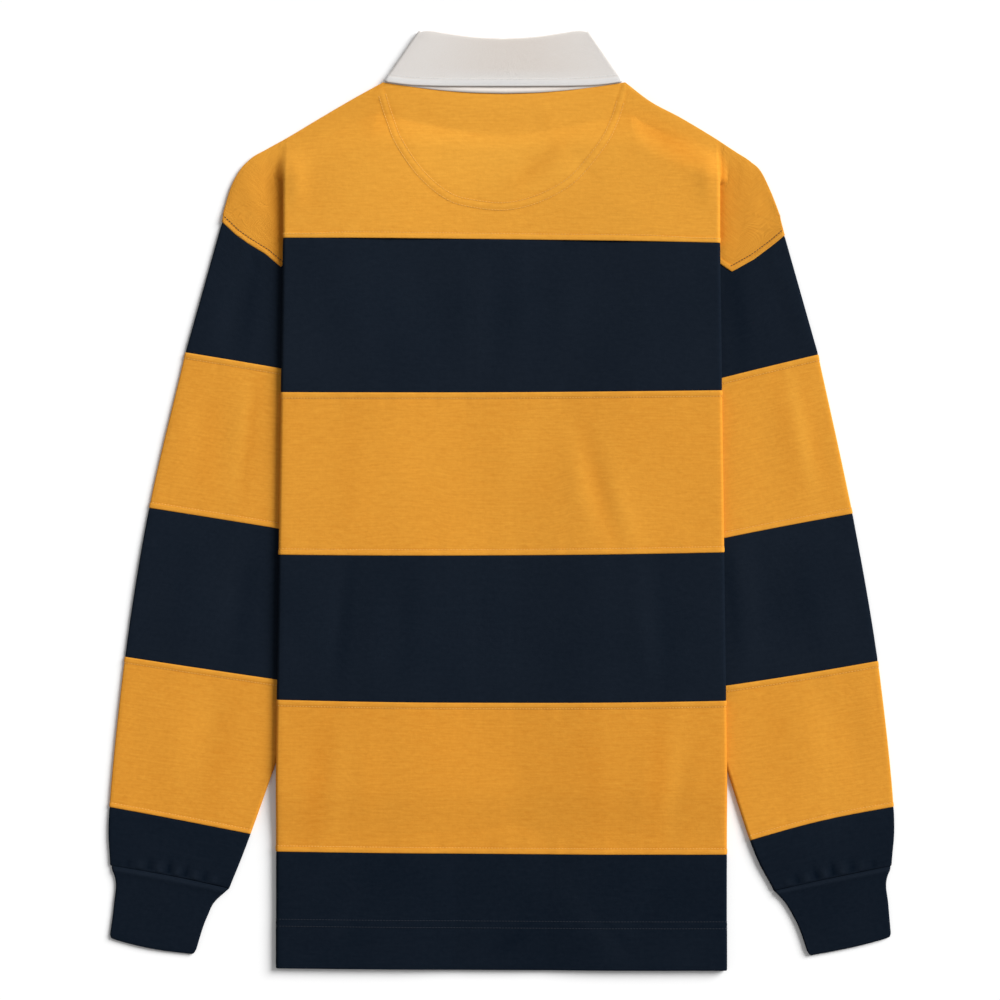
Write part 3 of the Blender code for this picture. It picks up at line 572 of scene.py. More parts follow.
def body_band(layer, band):
    """A whole body band below the top one.

    Returns its points, airiness by column, and distances from the seam above and below.
    """
    fine = layer == "back"
    columns, arc, flap = ((14, 26, 12, 28), 10, 16) if fine else ((6, 10, 6, 12), 4, 8)
    length = float(seam_y(band - 2, 0.0) - seam_y(band - 1, 0.0))
    rows = row_places(length, True, band < LAST_BAND)
    if not fine:
        sewn = (STITCH_LINE, length - STITCH_LINE)
        rows = np.unique(np.concatenate((rows[:8:3], rows[8:-8:2], rows[:-9:-3], sewn)))
    share = (rows / length)[:, None]
    halves = {}
    for sign in (-1, 1):
        top, low = seam_y(band - 2, sign * EDGE_LOW), seam_y(band - 1, sign * EDGE_LOW)
        x, z, air = half_columns(layer, mix(top, low, share), columns, arc, flap)
        upper = seam_y(band - 2, sign * x) - SEAM_GAP / 2
        lower = seam_y(band - 1, sign * x) + SEAM_GAP / 2
        halves[sign] = np.stack((sign * x, mix(upper, lower, share), z), axis=2)
    grid = np.concatenate((halves[-1][:, ::-1], halves[1][:, 1:]), axis=1)
    air = np.concatenate((air[::-1], air[1:]))
    return grid, air, rows


def neck_shift(x, y):
    """How far the neck lies to the right: wholly above the shoulders, fading down and outwards."""
    return NECK_SHIFT * ramp(y, SHIFT_RISE) * (1.0 - ramp(np.abs(x), SHIFT_FALL))


def shifted(grid):
    """Moves the points of a grid by the neck's shift."""
    moved = grid.copy()
    moved[..., 0] += neck_shift(grid[..., 0], grid[..., 1])
    return moved


def top_edge(layer, x, sign):
    """Upper edge of the top band: the neck curve inside the neck point, the shoulder outside."""
    shoulder = SHOULDERS[sign]
    outside = through(np.clip(x, NECK_X, SHOULDER_COLUMNS[-1]), shoulder[:, 0], shoulder[:, 1])
    if layer == "back":
        points = np.array([row[:2] for row in COLLAR_BACK[:-1]] + [(NECK_X, NECK_Y)])
        inside = through(np.clip(x, 0.0, NECK_X), points[:, 0], points[:, 1])
    else:
        points = np.array([row[:2] for row in COLLAR_FRONT[:0:-1]] + [(NECK_X, NECK_Y)])
        inside = np.interp(x, points[:, 0], points[:, 1])
    return np.where(x >= NECK_X, outside, inside)


def parallel(path, distance):
    """Each row's inner points, moved square to the path by a distance, to its right."""
    steps = np.diff(path, axis=1)
    steps /= np.linalg.norm(steps, axis=2, keepdims=True)
    right = np.stack((steps[..., 1], -steps[..., 0]), axis=2)
    before, after = right[:, :-1], right[:, 1:]
    mitre = (before + after) / (1.0 + (before * after).sum(axis=2, keepdims=True))
    return path[:, 1:-1] + mitre * distance


def pleat_columns(layer, share, arc, flat):
    """Fold columns of the top band at shares up it: an S that grows into the Z of the pleat.

    The path of the back is a mix of a plain slope and of two half circles with a flat between
    them; the front runs one layer inside it.  Returns x, height, main height and low height.
    """
    opened = 1.0 - ramp(share, PLEAT_OPEN)
    overhang = 1.0 - ramp(share, PLEAT_UNFOLD)
    main_z, flap_z = mix(LOWER_BACK, MAIN_BACK, opened), mix(LOWER_BACK, FLAP_BACK, opened)
    fold = EDGE_TOP - FOLD_DEPTH
    depth = PLEAT_SLOPE * (PLEAT_Y - EDGE_TOP_Y) * np.maximum(0.0, 1.0 - share / PLEAT_APEX)
    inner = fold - np.maximum(depth, FLAP_LEAST)
    outer_turn = turn(fold + 0 * share, (main_z + flap_z) / 2, (main_z - flap_z) / 2, 1, arc)
    inner_turn = turn(inner, (flap_z + LOWER_BACK) / 2, (flap_z - LOWER_BACK) / 2, -1, arc)
    part = np.arange(1, flat + 1) / flat
    flat_x = mix(fold, inner, part)
    x = np.hstack((outer_turn[0], flat_x, inner_turn[0]))
    z = np.hstack((outer_turn[1], np.broadcast_to(flap_z, flat_x.shape), inner_turn[1]))
    t = np.concatenate((0.4 * np.arange(1, arc + 1) / arc, 0.4 + 0.2 * part,
                        0.6 + 0.4 * np.arange(1, arc + 1) / arc))
    x = mix(fold + FOLD_SPREAD * t, x, overhang)
    z = mix(mix(main_z, LOWER_BACK, smooth(t)), z, overhang)
    if layer == "back":
        return x, z, main_z, LOWER_BACK
    lead_x = np.hstack((fold - 1.0 + 0 * share, fold + 0 * share))
    x = np.hstack((lead_x, x, x[:, -1:] + 1.0))
    z = np.hstack((main_z, main_z, z, z[:, -1:]))
    apart = 4.0 * PLEAT_CLEARANCE * overhang * (1.0 - overhang)
    window = np.sin(np.linspace(0.0, math.pi, x.shape[1] - 2))
    path = parallel(np.stack((x, z), axis=2), (PITCH + apart * window)[..., None])[:, 1:]
    return path[..., 0], path[..., 1], main_z - PITCH, LOWER_FRONT


def top_half(layer, share, sign, fine):
    """One half of the top band, from the middle through the pleat to the armhole.

    Each column is a straight line from the seam to the neck or shoulder.
    """
    counts = TOP_FINE if fine else TOP_COARSE
    arc, flat = (10, 6) if fine else (4, 2)
    place = np.concatenate([i + np.arange(n) / n for i, n in enumerate(counts)] + [[len(counts)]])
    table = np.array([np.interp(place, range(len(TOP_COLUMNS)), column) for column in TOP_COLUMNS.T])
    seam_x, neck_x, rise = table[0], table[1 if layer == "back" else 2], table[3]
    fold_x, fold_z, main_z, low_z = pleat_columns(layer, share, arc, flat)
    x = mix(seam_x, neck_x, share)
    y = mix(seam_y(0, sign * seam_x) + SEAM_GAP / 2, top_edge(layer, neck_x, sign), share)
    z = mix(centre_level(layer, x, y), main_z, smooth(rise))
    if fine:
        slack = SLING_DROP * (1.0 - smooth(x / SLING_TOP))
        z = np.maximum(z, MAIN_BACK - slack - (MAIN_BACK - LOWER_BACK) * ramp(share, PLEAT_OPEN))
    fold_y = mix(seam_y(0, sign * fold_x) + SEAM_GAP / 2, top_edge(layer, fold_x, sign), share)
    steps = 30 if fine else 10
    q = 1.0 + 5.0 * np.arange(steps + 1) / steps
    hole = straight(q, range(7), ARMHOLES[sign])
    shoulder_x = through(q, range(1, 7), SHOULDER_COLUMNS)
    cap_x = mix(hole[:, 0], shoulder_x, share)
    cap_y = mix(hole[:, 1] + SEAM_GAP / 2, top_edge(layer, shoulder_x, sign), share)
    between = (np.arange(1, 6) / 6) if fine else np.array([0.5])
    step_x = mix(fold_x[:, -1:], cap_x[:, :1], between)
    step_y = mix(fold_y[:, -1:], cap_y[:, :1], between)
    xs = np.hstack((x, fold_x, step_x, cap_x))
    ys = np.hstack((y, fold_y, step_y, cap_y))
    zs = np.hstack((z, fold_z, 0 * step_x + low_z, 0 * cap_x + low_z))
    air = np.concatenate((np.ones(len(place)), 1.0 - np.arange(1, arc + 1) / arc,
                          np.zeros(fold_x.shape[1] - arc), 0 * between,
                          ramp(np.arange(len(q)), (0, 8))))
    return np.stack((sign * xs, ys, zs), axis=2), air


def tube_section(flat, end, out):
    """Section of a flattened tube: its upper layer, the turn round its fold, its lower layer.

    flat gives points at shares across it, end is the fold's centre and out the way it faces.
    """
    reach, height = turn(0.0, (LOWER_BACK + LOWER_FRONT) / 2, PITCH / 2, 1, SLEEVE_ARC)
    upper, lower = (
        np.column_stack((flat(shares), np.full(len(shares), z)))
        for shares, z in ((SLEEVE_ACROSS, LOWER_BACK), (SLEEVE_UNDER, LOWER_FRONT)))
    return np.concatenate((upper, np.column_stack((end + out * reach[:, None], height)), lower))


def sleeve_station(station, sign):
    """Section of a sleeve or cuff on a line that bows sideways by a half sine."""
    outer_x, outer_y, inner_x, inner_y, bow = station
    outer, inner = np.array((sign * outer_x, outer_y)), np.array((sign * inner_x, inner_y))
    length = np.linalg.norm(outer - inner)
    out = (outer - inner) / length
    side = np.array((-out[1], out[0])) * sign
    centre = length - (PITCH + WALL) / 2

    def flat(shares):
        return inner + out * (centre * shares)[:, None] + side * (bow * np.sin(math.pi * shares))[:, None]

    return tube_section(flat, inner + out * centre, out)


def sleeve_head(sign):
    """First section of a sleeve: the armhole seam in both layers, joined round the outer fold."""
    seam = np.concatenate((SLEEVE_HEAD_HIDDEN, ARMHOLES[sign][2:])) * (sign, 1)
    out = (seam[-1] - seam[-2]) / np.linalg.norm(seam[-1] - seam[-2])
    seam[-1] -= out * (PITCH + WALL) / 2
    return tube_section(lambda shares: straight(shares, SLEEVE_KNOTS, seam), seam[-1], out)


def loft(first, last, before, after, t, gap):
    """Surface between two sections: a straight mix, bent at each end into its neighbour's run."""
    t = t[:, None, None]
    run = np.linalg.norm(last[:, :2] - first[:, :2], axis=1).mean()
    inset = gap / 2 / run
    grid = mix(first, last, inset + (1.0 - 2.0 * inset) * t)
    bend = before * t * (1 - t) ** 2 - after * t * t * (1 - t)
    bend[..., 2] = 0.0
    return grid + bend


def collar_surface(station, turned, piece):
    """Stand or leaf of the collar: a section leaning from each point of the neck seam.

    The section runs up the stand, round the roll's half circle and down the leaf; turned swings
    its outer side from up, at the back, to down, at the front.
    """
    base = np.column_stack((station[:, :2], np.full(len(station), COLLAR_CORE)))
    lean = np.column_stack((station[:, 2:4], np.zeros(len(station))))
    lean /= np.linalg.norm(lean, axis=1, keepdims=True)
    flat_out = np.column_stack((lean[:, 1], -lean[:, 0], np.zeros(len(station))))
    out = flat_out * np.sin(turned)[:, None] + np.array((0, 0, 1.0)) * np.cos(turned)[:, None]
    roll, leaf = station[:, 4:5], station[:, 5:6]
    if piece == "stand":
        share = np.linspace(0.0, 1.0, 16)
        height = mix(0.15, roll - STAND_TOP - SEAM_GAP / 2, share)
        bulge = smooth((leaf - 0.8 - height) / 3.0) * np.cos(turned)[:, None] ** 2
        offset = PITCH / 2 + STAND_BULGE * bulge
    else:
        stand = mix(roll - STAND_TOP + SEAM_GAP / 2, roll, np.linspace(0.0, 1.0, 5))
        angle = math.pi * np.arange(1, 10) / 10
        rolled = roll + PITCH / 2 * np.sin(angle)
        down = mix(roll, leaf, LEAF_SHARES)
        height = np.hstack((stand, rolled, down))
        arc = np.broadcast_to(PITCH - PITCH / 2 * np.cos(angle), rolled.shape)
        offset = np.hstack((0 * stand + PITCH / 2, arc, 0 * down + PITCH * 1.5))
    return base[:, None] + lean[:, None] * height[..., None] + out[:, None] * offset[..., None]


def collar_stations():
    """Stations of the right half of the collar, from the middle of the back to the front's end."""
    back, front = np.array(COLLAR_BACK), np.array(COLLAR_FRONT)
    rear = through(np.linspace(0, 4, 37), range(5), back)
    swing = np.repeat(back[-1:], 9, axis=0)
    fore = through(np.linspace(0, 4, 33), range(5), front)
    turned = np.concatenate((np.zeros(37), math.pi * np.arange(1, 10) / 10, np.full(33, math.pi)))
    return np.concatenate((rear, swing, fore)), turned


def mirrored(right):
    """A right half of rows, with its mirror image before it."""
    left = right[::-1].copy()
    left[..., 0] *= -1
    return np.concatenate((left[:-1], right))


def placket_strip(z, bow):
    """A strip of the placket: a flat grid whose long edges sink a little."""
    x = np.linspace(-PLACKET_HALF, PLACKET_HALF, 27)
    y = np.linspace(PLACKET_LOW, PLACKET_TOP, 76)
    gx, gy = np.meshgrid(x, y)
    edge = sum(bump(inset, PLACKET_ROUND) for inset in (
        PLACKET_HALF - np.abs(gx), gy - PLACKET_LOW, PLACKET_TOP - gy))
    return np.stack((gx, gy, z + bow * edge), axis=2)


def add_mesh(name, points, blocks, material, uv=None):
    """A mesh piece from points in millimetres and blocks of faces, each with its own corner count."""
    corners = np.concatenate([block.ravel() for block in blocks]).astype(np.int32)
    totals = np.concatenate([np.full(len(block), block.shape[1], np.int32) for block in blocks])
    mesh = bpy.data.meshes.new(name)
    mesh.vertices.add(len(points))
    mesh.vertices.foreach_set("co", (points * MM).astype(np.float32).ravel())
    mesh.loops.add(len(corners))
    mesh.loops.foreach_set("vertex_index", corners)
    mesh.polygons.add(len(totals))
    mesh.polygons.foreach_set("loop_start", (np.cumsum(totals) - totals).astype(np.int32))
    mesh.polygons.foreach_set("loop_total", totals)
    if uv is not None:
        layer = mesh.uv_layers.new(name="cloth")
        layer.data.foreach_set("uv", (uv[corners] * MM).astype(np.float32).ravel())
    mesh.update(calc_edges=True)
    mesh.validate()
    mesh.shade_smooth()
    mesh.materials.append(material)
    piece = bpy.data.objects.new(name, mesh)
    bpy.context.scene.collection.objects.link(piece)
    return piece


def grid_quads(rows, columns, keep=None):
    """Corner numbers of the cells of a grid; keep drops cells where the cloth is cut away."""
    index = np.arange(rows * columns).reshape(rows, columns)
    quads = np.stack((index[:-1, :-1], index[:-1, 1:], index[1:, 1:], index[1:, :-1]), axis=2)
    if keep is not None:
        return quads[keep]
    return quads.reshape(-1, 4)


def add_cloth(node, grid, finish, tone, keep=None, shift=0.0):
    """Cloth wall around a grid of middle points, standing for a node of the frame.

    finish is its material and a slot name, which is not used, and shift moves the knit along it, so
    that no two bands match.
    """
    material, slot = finish
    sizes = bpy.context.scene.shirt_sizes
    across = arc_lengths(grid, 1)
    along = arc_lengths(grid, 0)
    middle = grid.shape[1] // 2
    uv = np.stack((across - across[:, middle:middle + 1], along + shift), axis=2)
    points = grid.reshape(-1, 3)
    quads = grid_quads(grid.shape[0], grid.shape[1], keep)
    used, quads = np.unique(quads, return_inverse=True)
    quads = quads.reshape(-1, 4)
    piece = add_mesh(node + "_cloth", points[used], [quads], materials()[material],
                     uv.reshape(-1, 2)[used])
    # Each point's tone: the cloth's lightness with its painted light and shade
    shades = piece.data.attributes.new("tone", "FLOAT", "POINT")
    spread = np.broadcast_to(tone, grid.shape[:2]).ravel()[used]
    shades.data.foreach_set("value", spread.astype(np.float32))
    wall = piece.modifiers.new("wall", "SOLIDIFY")
    wall.thickness = sizes.cloth_wall
    wall.offset = 0.0
    wall.use_even_offset = False
    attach(piece, "root")
    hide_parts(node)
    return piece


def bead_template():
    """A stitch as a rod of four rings of five points along its own x, thicker in its middle.

    Returns its points, its faces of four corners and its faces of three.
    """
    rings = np.array(((-1.0, 0.35), (-0.55, 0.95), (0.55, 0.95), (1.0, 0.35)))
    angle = 2 * math.pi * np.arange(5) / 5
    points = np.stack((
        np.repeat(rings[:, 0], 5),
        (rings[:, 1:2] * np.cos(angle)).ravel(),
        (rings[:, 1:2] * np.sin(angle)).ravel()), axis=1)
    ring = np.arange(5)
    after = (ring + 1) % 5
    quads = [np.stack((5 * k + ring, 5 * k + after, 5 * k + 5 + after, 5 * k + 5 + ring), axis=1)
             for k in range(3)]
    return (points, np.concatenate(quads + [((0, 1, 2, 3), (15, 18, 17, 16))]),
            np.array(((0, 3, 4), (15, 19, 18))))


def stitch_points(line, normals, pitch):
    """Places, directions and normals of stitches spaced evenly along a line of points."""
    steps = np.linalg.norm(np.diff(line, axis=0), axis=1)
    length = np.concatenate(([0.0], np.cumsum(steps)))
    count = int((length[-1] - pitch) / pitch)
    at = (length[-1] - count * pitch) / 2 + pitch * np.arange(count + 1)
    normal = straight(at, length, normals)
    along = straight(at + STITCH_LOOK, length, line) - straight(at - STITCH_LOOK, length, line)
    along /= np.maximum(np.linalg.norm(along, axis=1, keepdims=True), TINY)
    normal /= np.maximum(np.linalg.norm(normal, axis=1, keepdims=True), TINY)
    return straight(at, length, line), along, normal


def add_stitches(name, lines, thread):
    """Rows of stitches as one piece: each stitch is a small rod half sunk in the cloth."""
    sizes = bpy.context.scene.shirt_sizes
    template, quads, ends = bead_template()
    pitch = sizes.stitch_pitch / MM
    body = template * (pitch * STITCH_SHARE, sizes.stitch_width / MM / 2, sizes.stitch_height / MM / 2)
    surface = sizes.cloth_wall / MM / 2
    points = []
    for line, normals in lines:
        place, along, normal = stitch_points(line, normals, pitch)
        side = np.cross(normal, along)
        placed = (place + normal * surface)[:, None] + (
            body[:, 0][None, :, None] * along[:, None] + body[:, 1][None, :, None] * side[:, None]
            + body[:, 2][None, :, None] * normal[:, None])
        points.append(placed.reshape(-1, 3))
    points = np.concatenate(points)
    points[:, 2] = np.maximum(points[:, 2], LEAST_HEIGHT)
    offset = np.arange(0, len(points), len(template))[:, None, None]
    blocks = [(quads + offset).reshape(-1, 4), (ends + offset).reshape(-1, 3)]
    piece = add_mesh(name, points, blocks, materials()[thread])
    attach(piece, "root")
    return piece


# Shader groups


def group(name, inputs, outputs):
    """A shader node group with named inputs (name, kind, default) and outputs (name, kind)."""
    tree = bpy.data.node_groups.new(name, "ShaderNodeTree")
    for label, kind, default in inputs:
        socket = tree.interface.new_socket(name=label, in_out="INPUT", socket_type=kind)
        if default is not None:
            socket.default_value = default
    for label, kind in outputs:
        tree.interface.new_socket(name=label, in_out="OUTPUT", socket_type=kind)
    return tree, tree.nodes.new("NodeGroupInput"), tree.nodes.new("NodeGroupOutput")


def math_node(tree, operation, *values):
    """A Math node whose inputs are sockets or numbers; returns its output."""
    node = tree.nodes.new("ShaderNodeMath")
    node.operation = operation
    for socket, value in zip(node.inputs, values):
        if isinstance(value, (int, float)):
            socket.default_value = value
        else:
            tree.links.new(value, socket)
    return node.outputs[0]


def noise_node(tree, vector, scale, detail, roughness=0.5):
    """A Noise Texture on a vector; returns its value."""
    node = tree.nodes.new("ShaderNodeTexNoise")
    node.inputs["Scale"].default_value = scale
    node.inputs["Detail"].default_value = detail
    node.inputs["Roughness"].default_value = roughness
    tree.links.new(vector, node.inputs["Vector"])
    return node.outputs["Fac"]


def stretched(tree, vector, scale):
    """A vector multiplied along each axis."""
    node = tree.nodes.new("ShaderNodeVectorMath")
    node.operation = "MULTIPLY"
    node.inputs[1].default_value = scale
    tree.links.new(vector, node.inputs[0])
    return node.outputs[0]


def knit_group():
    """Fine jersey: columns of V-shaped loops, with streaks along the courses and a soft mottle."""
    tree, given, result = group(
        "jersey_knit",
        (("Vector", "NodeSocketVector", None), ("Wale", "NodeSocketFloat", 0.00105),
         ("Course", "NodeSocketFloat", 0.0009), ("Streak", "NodeSocketFloat", 0.5)),
        (("Height", "NodeSocketFloat"), ("Shade", "NodeSocketFloat")))
    split = tree.nodes.new("ShaderNodeSeparateXYZ")
    tree.links.new(given.outputs["Vector"], split.inputs[0])
    wale = math_node(tree, "DIVIDE", split.outputs[0], given.outputs["Wale"])
    course = math_node(tree, "DIVIDE", split.outputs[1], given.outputs["Course"])
    side = math_node(tree, "ABSOLUTE", math_node(tree, "SUBTRACT", math_node(tree, "FRACT", wale), 0.5))
    leg = math_node(tree, "ADD", course, side)
    loop = math_node(tree, "SINE", math_node(tree, "MULTIPLY", leg, 2 * math.pi))
    ridge = math_node(tree, "COSINE", math_node(tree, "MULTIPLY", side, 4 * math.pi))
    loops = math_node(tree, "MULTIPLY_ADD", loop, 0.3, math_node(tree, "MULTIPLY", ridge, -0.2))
    streak = noise_node(tree, stretched(tree, given.outputs["Vector"], (70.0, 640.0, 1.0)), 1.0, 3.0)
    blotch = noise_node(tree, stretched(tree, given.outputs["Vector"], (240.0, 300.0, 1.0)), 1.0, 4.0, 0.6)
    marks = math_node(tree, "MULTIPLY", math_node(tree, "SUBTRACT", streak, 0.5), given.outputs["Streak"])
    flecks = math_node(tree, "SUBTRACT", blotch, 0.5)
    height = math_node(tree, "ADD", loops, math_node(tree, "MULTIPLY", flecks, 1.2))
    shade = math_node(tree, "ADD", marks, math_node(tree, "MULTIPLY", flecks, 0.6))
    shade = math_node(tree, "ADD", shade, math_node(tree, "MULTIPLY", loops, 0.12))
    tree.links.new(height, result.inputs["Height"])
    tree.links.new(shade, result.inputs["Shade"])


def twill_group():
    """Twill: fine diagonal ribs, broken by noise."""
    tree, given, result = group(
        "twill_weave",
        (("Vector", "NodeSocketVector", None), ("Pitch", "NodeSocketFloat", 0.0011)),
        (("Height", "NodeSocketFloat"), ("Shade", "NodeSocketFloat")))
    split = tree.nodes.new("ShaderNodeSeparateXYZ")
    tree.links.new(given.outputs["Vector"], split.inputs[0])
    slope = math_node(tree, "MULTIPLY_ADD", split.outputs[1], 1.6, split.outputs[0])
    rib = math_node(tree, "SINE", math_node(
        tree, "MULTIPLY", math_node(tree, "DIVIDE", slope, given.outputs["Pitch"]), 2 * math.pi))
    slub = noise_node(tree, stretched(tree, given.outputs["Vector"], (260.0, 700.0, 1.0)), 1.0, 3.0)
    height = math_node(tree, "MULTIPLY_ADD", math_node(tree, "SUBTRACT", slub, 0.5), 1.0,
                       math_node(tree, "MULTIPLY", rib, 0.4))
    tree.links.new(height, result.inputs["Height"])
    tree.links.new(math_node(tree, "MULTIPLY", height, 0.1), result.inputs["Shade"])


def mottle_group():
    """Slow uneven tone over a whole piece, from its place in the room."""
    tree, given, result = group(
        "soft_mottle",
        (("Vector", "NodeSocketVector", None), ("Scale", "NodeSocketFloat", 14.0)),
        (("Shade", "NodeSocketFloat"),))
    node = tree.nodes.new("ShaderNodeTexNoise")
    node.inputs["Detail"].default_value = 3.0
    tree.links.new(given.outputs["Vector"], node.inputs["Vector"])
    tree.links.new(given.outputs["Scale"], node.inputs["Scale"])
    tree.links.new(math_node(tree, "SUBTRACT", node.outputs["Fac"], 0.5), result.inputs["Shade"])


def shaded_colour(tree, colour, shade, swing):
    """A colour that a shade round zero makes lighter and darker, each channel by its own swing."""
    node = tree.nodes.new("ShaderNodeMix")
    node.data_type = "RGBA"
    node.clamp_factor = False
    dark = [channel * (1.0 - share) for channel, share in zip(colour, swing)]
    light = [min(1.0, channel * (1.0 + share)) for channel, share in zip(colour, swing)]
    node.inputs[6].default_value = (*dark, 1.0)
    node.inputs[7].default_value = (*light, 1.0)
    tree.links.new(math_node(tree, "ADD", shade, 0.5), node.inputs[0])
    return node.outputs[2]


def new_material(name, roughness, gloss):
    """A material; returns it with its node tree and its shader."""
    material = bpy.data.materials.new(name)
    material.use_nodes = True
    shader = material.node_tree.nodes["Principled BSDF"]
    shader.inputs["Roughness"].default_value = roughness
    shader.inputs["Specular IOR Level"].default_value = gloss
    return material, material.node_tree, shader


def add_group(tree, name, vector):
    """A node group in a tree, fed with a vector."""
    node = tree.nodes.new("ShaderNodeGroup")
    node.node_tree = bpy.data.node_groups[name]
    tree.links.new(vector, node.inputs["Vector"])
    return node


def cloth_material(name, colour, weave, streak, swing, mottle, roughness, gloss, relief):
    """Cloth: a weave group for its fine height and flecks, a slow mottle, and the piece's tone, which
    holds painted light and shade as well as the cloth's own lightness.
    """
    _, tree, shader = new_material(name, roughness, gloss)
    uv = tree.nodes.new("ShaderNodeUVMap")
    uv.uv_map = "cloth"
    place = tree.nodes.new("ShaderNodeTexCoord")
    tone = tree.nodes.new("ShaderNodeAttribute")
    tone.attribute_name = "tone"
    weave_node = add_group(tree, weave, uv.outputs["UV"])
    if streak is not None:
        weave_node.inputs["Streak"].default_value = streak
    slow = add_group(tree, "soft_mottle", place.outputs["Object"])
    shade = math_node(tree, "ADD", weave_node.outputs["Shade"],
                      math_node(tree, "MULTIPLY", slow.outputs["Shade"], mottle))
    shade = math_node(tree, "ADD", shade, tone.outputs["Fac"])
    tree.links.new(shaded_colour(tree, colour, shade, swing), shader.inputs["Base Color"])
    bump_node = tree.nodes.new("ShaderNodeBump")
    bump_node.inputs["Distance"].default_value = relief
    bump_node.inputs["Strength"].default_value = 1.0
    tree.links.new(weave_node.outputs["Height"], bump_node.inputs["Height"])
    tree.links.new(bump_node.outputs["Normal"], shader.inputs["Normal"])


def thread_material(name, colour):
    """Sewing thread: one colour with a fine fleck, a little shinier than the cloth."""
    _, tree, shader = new_material(name, 0.65, 0.25)
    place = tree.nodes.new("ShaderNodeTexCoord")
    fleck = noise_node(tree, place.outputs["Object"], 900.0, 2.0)
    shade = math_node(tree, "SUBTRACT", fleck, 0.5)
    tree.links.new(shaded_colour(tree, colour, shade, (0.3, 0.3, 0.3)), shader.inputs["Base Color"])


def materials():
    """The shirt's materials, made once."""
    if "yellow_jersey_cloth" in bpy.data.materials:
        return bpy.data.materials
    colours = bpy.context.scene.shirt_colours
    knit_group()
    twill_group()
    mottle_group()
    for name, (colour, *finish) in CLOTHS.items():
        cloth_material(name, getattr(colours, colour), *finish)
    for name, colour in THREADS.items():
        thread_material(name, getattr(colours, colour))
    return bpy.data.materials


def band_colour(number):
    """Bands take turns: odd ones are yellow, even ones navy, and a sleeve starts with the second."""
    return "navy" if number % 2 == 0 else "yellow"


def relieved(grid, air, rows, colour, layer, hem):
    """Adds the seam form and the creases to a band's grid; returns it with its tone, which holds
    painted highlight and shade at the seams and painted light and shade along the creases.
    """
    outward = surface_normals(grid) * (1 if layer == "back" else -1)
    middle = grid.shape[1] // 2
    across = arc_lengths(grid, 1)
    across = across - across[:, middle:middle + 1]
    top = rows[:, None] + 0 * across
    low = (rows[-1] - rows)[:, None] + 0 * across
    form = seam_relief(top, across, colour)
    # Painted highlight on the ledge and painted shade in the stitches' row
    tone = seam_painted_highlight_and_shade(top, colour)
    if hem:
        fold = HEM_DEPTH * (1.0 - ramp(low, (HEM_LINES[1] - 0.4, HEM_LINES[1] + 1.6)))
        rows_sewn = sum(HEM_DEPTH * bump(low - place, 0.9) for place in HEM_LINES)
        form = form + fold - rows_sewn - HEM_DEPTH * np.exp(-low / 0.5)
    else:
        form = form + seam_relief(low, across + BODY_PUCKER_STEP, colour)
        tone = tone + seam_painted_highlight_and_shade(low, colour)
    shape = grid + outward * resting(form, outward)[..., None]
    x, y = grid[..., 0], grid[..., 1]
    folds = creases(BODY_CREASES, x, y)
    # Painted light and shade along the creases
    tone = tone + creases(BODY_PAINTED_SHADING, x, y)
    if layer == "back":
        # Painted shade along the right fold
        tone = tone + painted_fold_shade(x, y)
        shape[..., 2] += air * (BODY_LIFT + swell(x, y) + folds)
    else:
        shape[..., 2] += HOLLOW * np.clip(folds + swell(x, y), 0.0, HOLLOW_MOST)
    return shape, tone


def length_property(name, description, default, least, most):
    """A length in metres, with its limits."""
    return bpy.props.FloatProperty(
        name=name, description=description, default=default, min=least, max=most,
        unit="LENGTH", precision=5)


def colour_property(name, description, default):
    """A colour with its red, green and blue."""
    return bpy.props.FloatVectorProperty(
        name=name, description=description, subtype="COLOR", size=4, default=(*default, 1.0),
        min=0.0, max=1.0)


class ShirtSizes(bpy.types.PropertyGroup):
    """Sizes of the shirt's cloth and stitches."""

    cloth_wall: length_property(
        "Cloth Wall", "Thickness of the jersey and the twill", 0.001, 0.0005, 0.0012)
    stitch_pitch: length_property(
        "Stitch Pitch", "Distance from one stitch to the next", 0.0025, 0.0015, 0.005)
    stitch_width: length_property(
        "Stitch Width", "Width of a stitch's thread", 0.0007, 0.0002, 0.001)
    stitch_height: length_property(
        "Stitch Height", "Height of a stitch's thread", 0.0006, 0.0002, 0.001)


class ShirtColours(bpy.types.PropertyGroup):
    """Colours of the shirt's cloth, thread and buttons."""

    yellow: colour_property("Yellow Bands", "Colour of the yellow jersey", (0.755, 0.322, 0.036))
    navy: colour_property("Navy Bands", "Colour of the navy jersey", (0.008, 0.0127, 0.0212))
    off_white: colour_property(
        "Collar", "Colour of the collar's and the placket's twill", (0.84, 0.80, 0.765))
    yellow_thread: colour_property(
        "Yellow Thread", "Colour of the thread on the yellow bands", (0.8, 0.41, 0.085))
    navy_thread: colour_property(
        "Navy Thread", "Colour of the thread at the armholes and on the navy bands",
        (0.012, 0.016, 0.025))
    pearl: colour_property("Buttons", "Colour of the buttons", (0.62, 0.6, 0.55))


def line_of(grid, rows, place, outward):
    """The row of a grid nearest a place, as a line for stitches with the cloth's normals."""
    row = int(np.argmin(np.abs(rows - place)))
    return grid[row], surface_normals(grid)[row] * outward


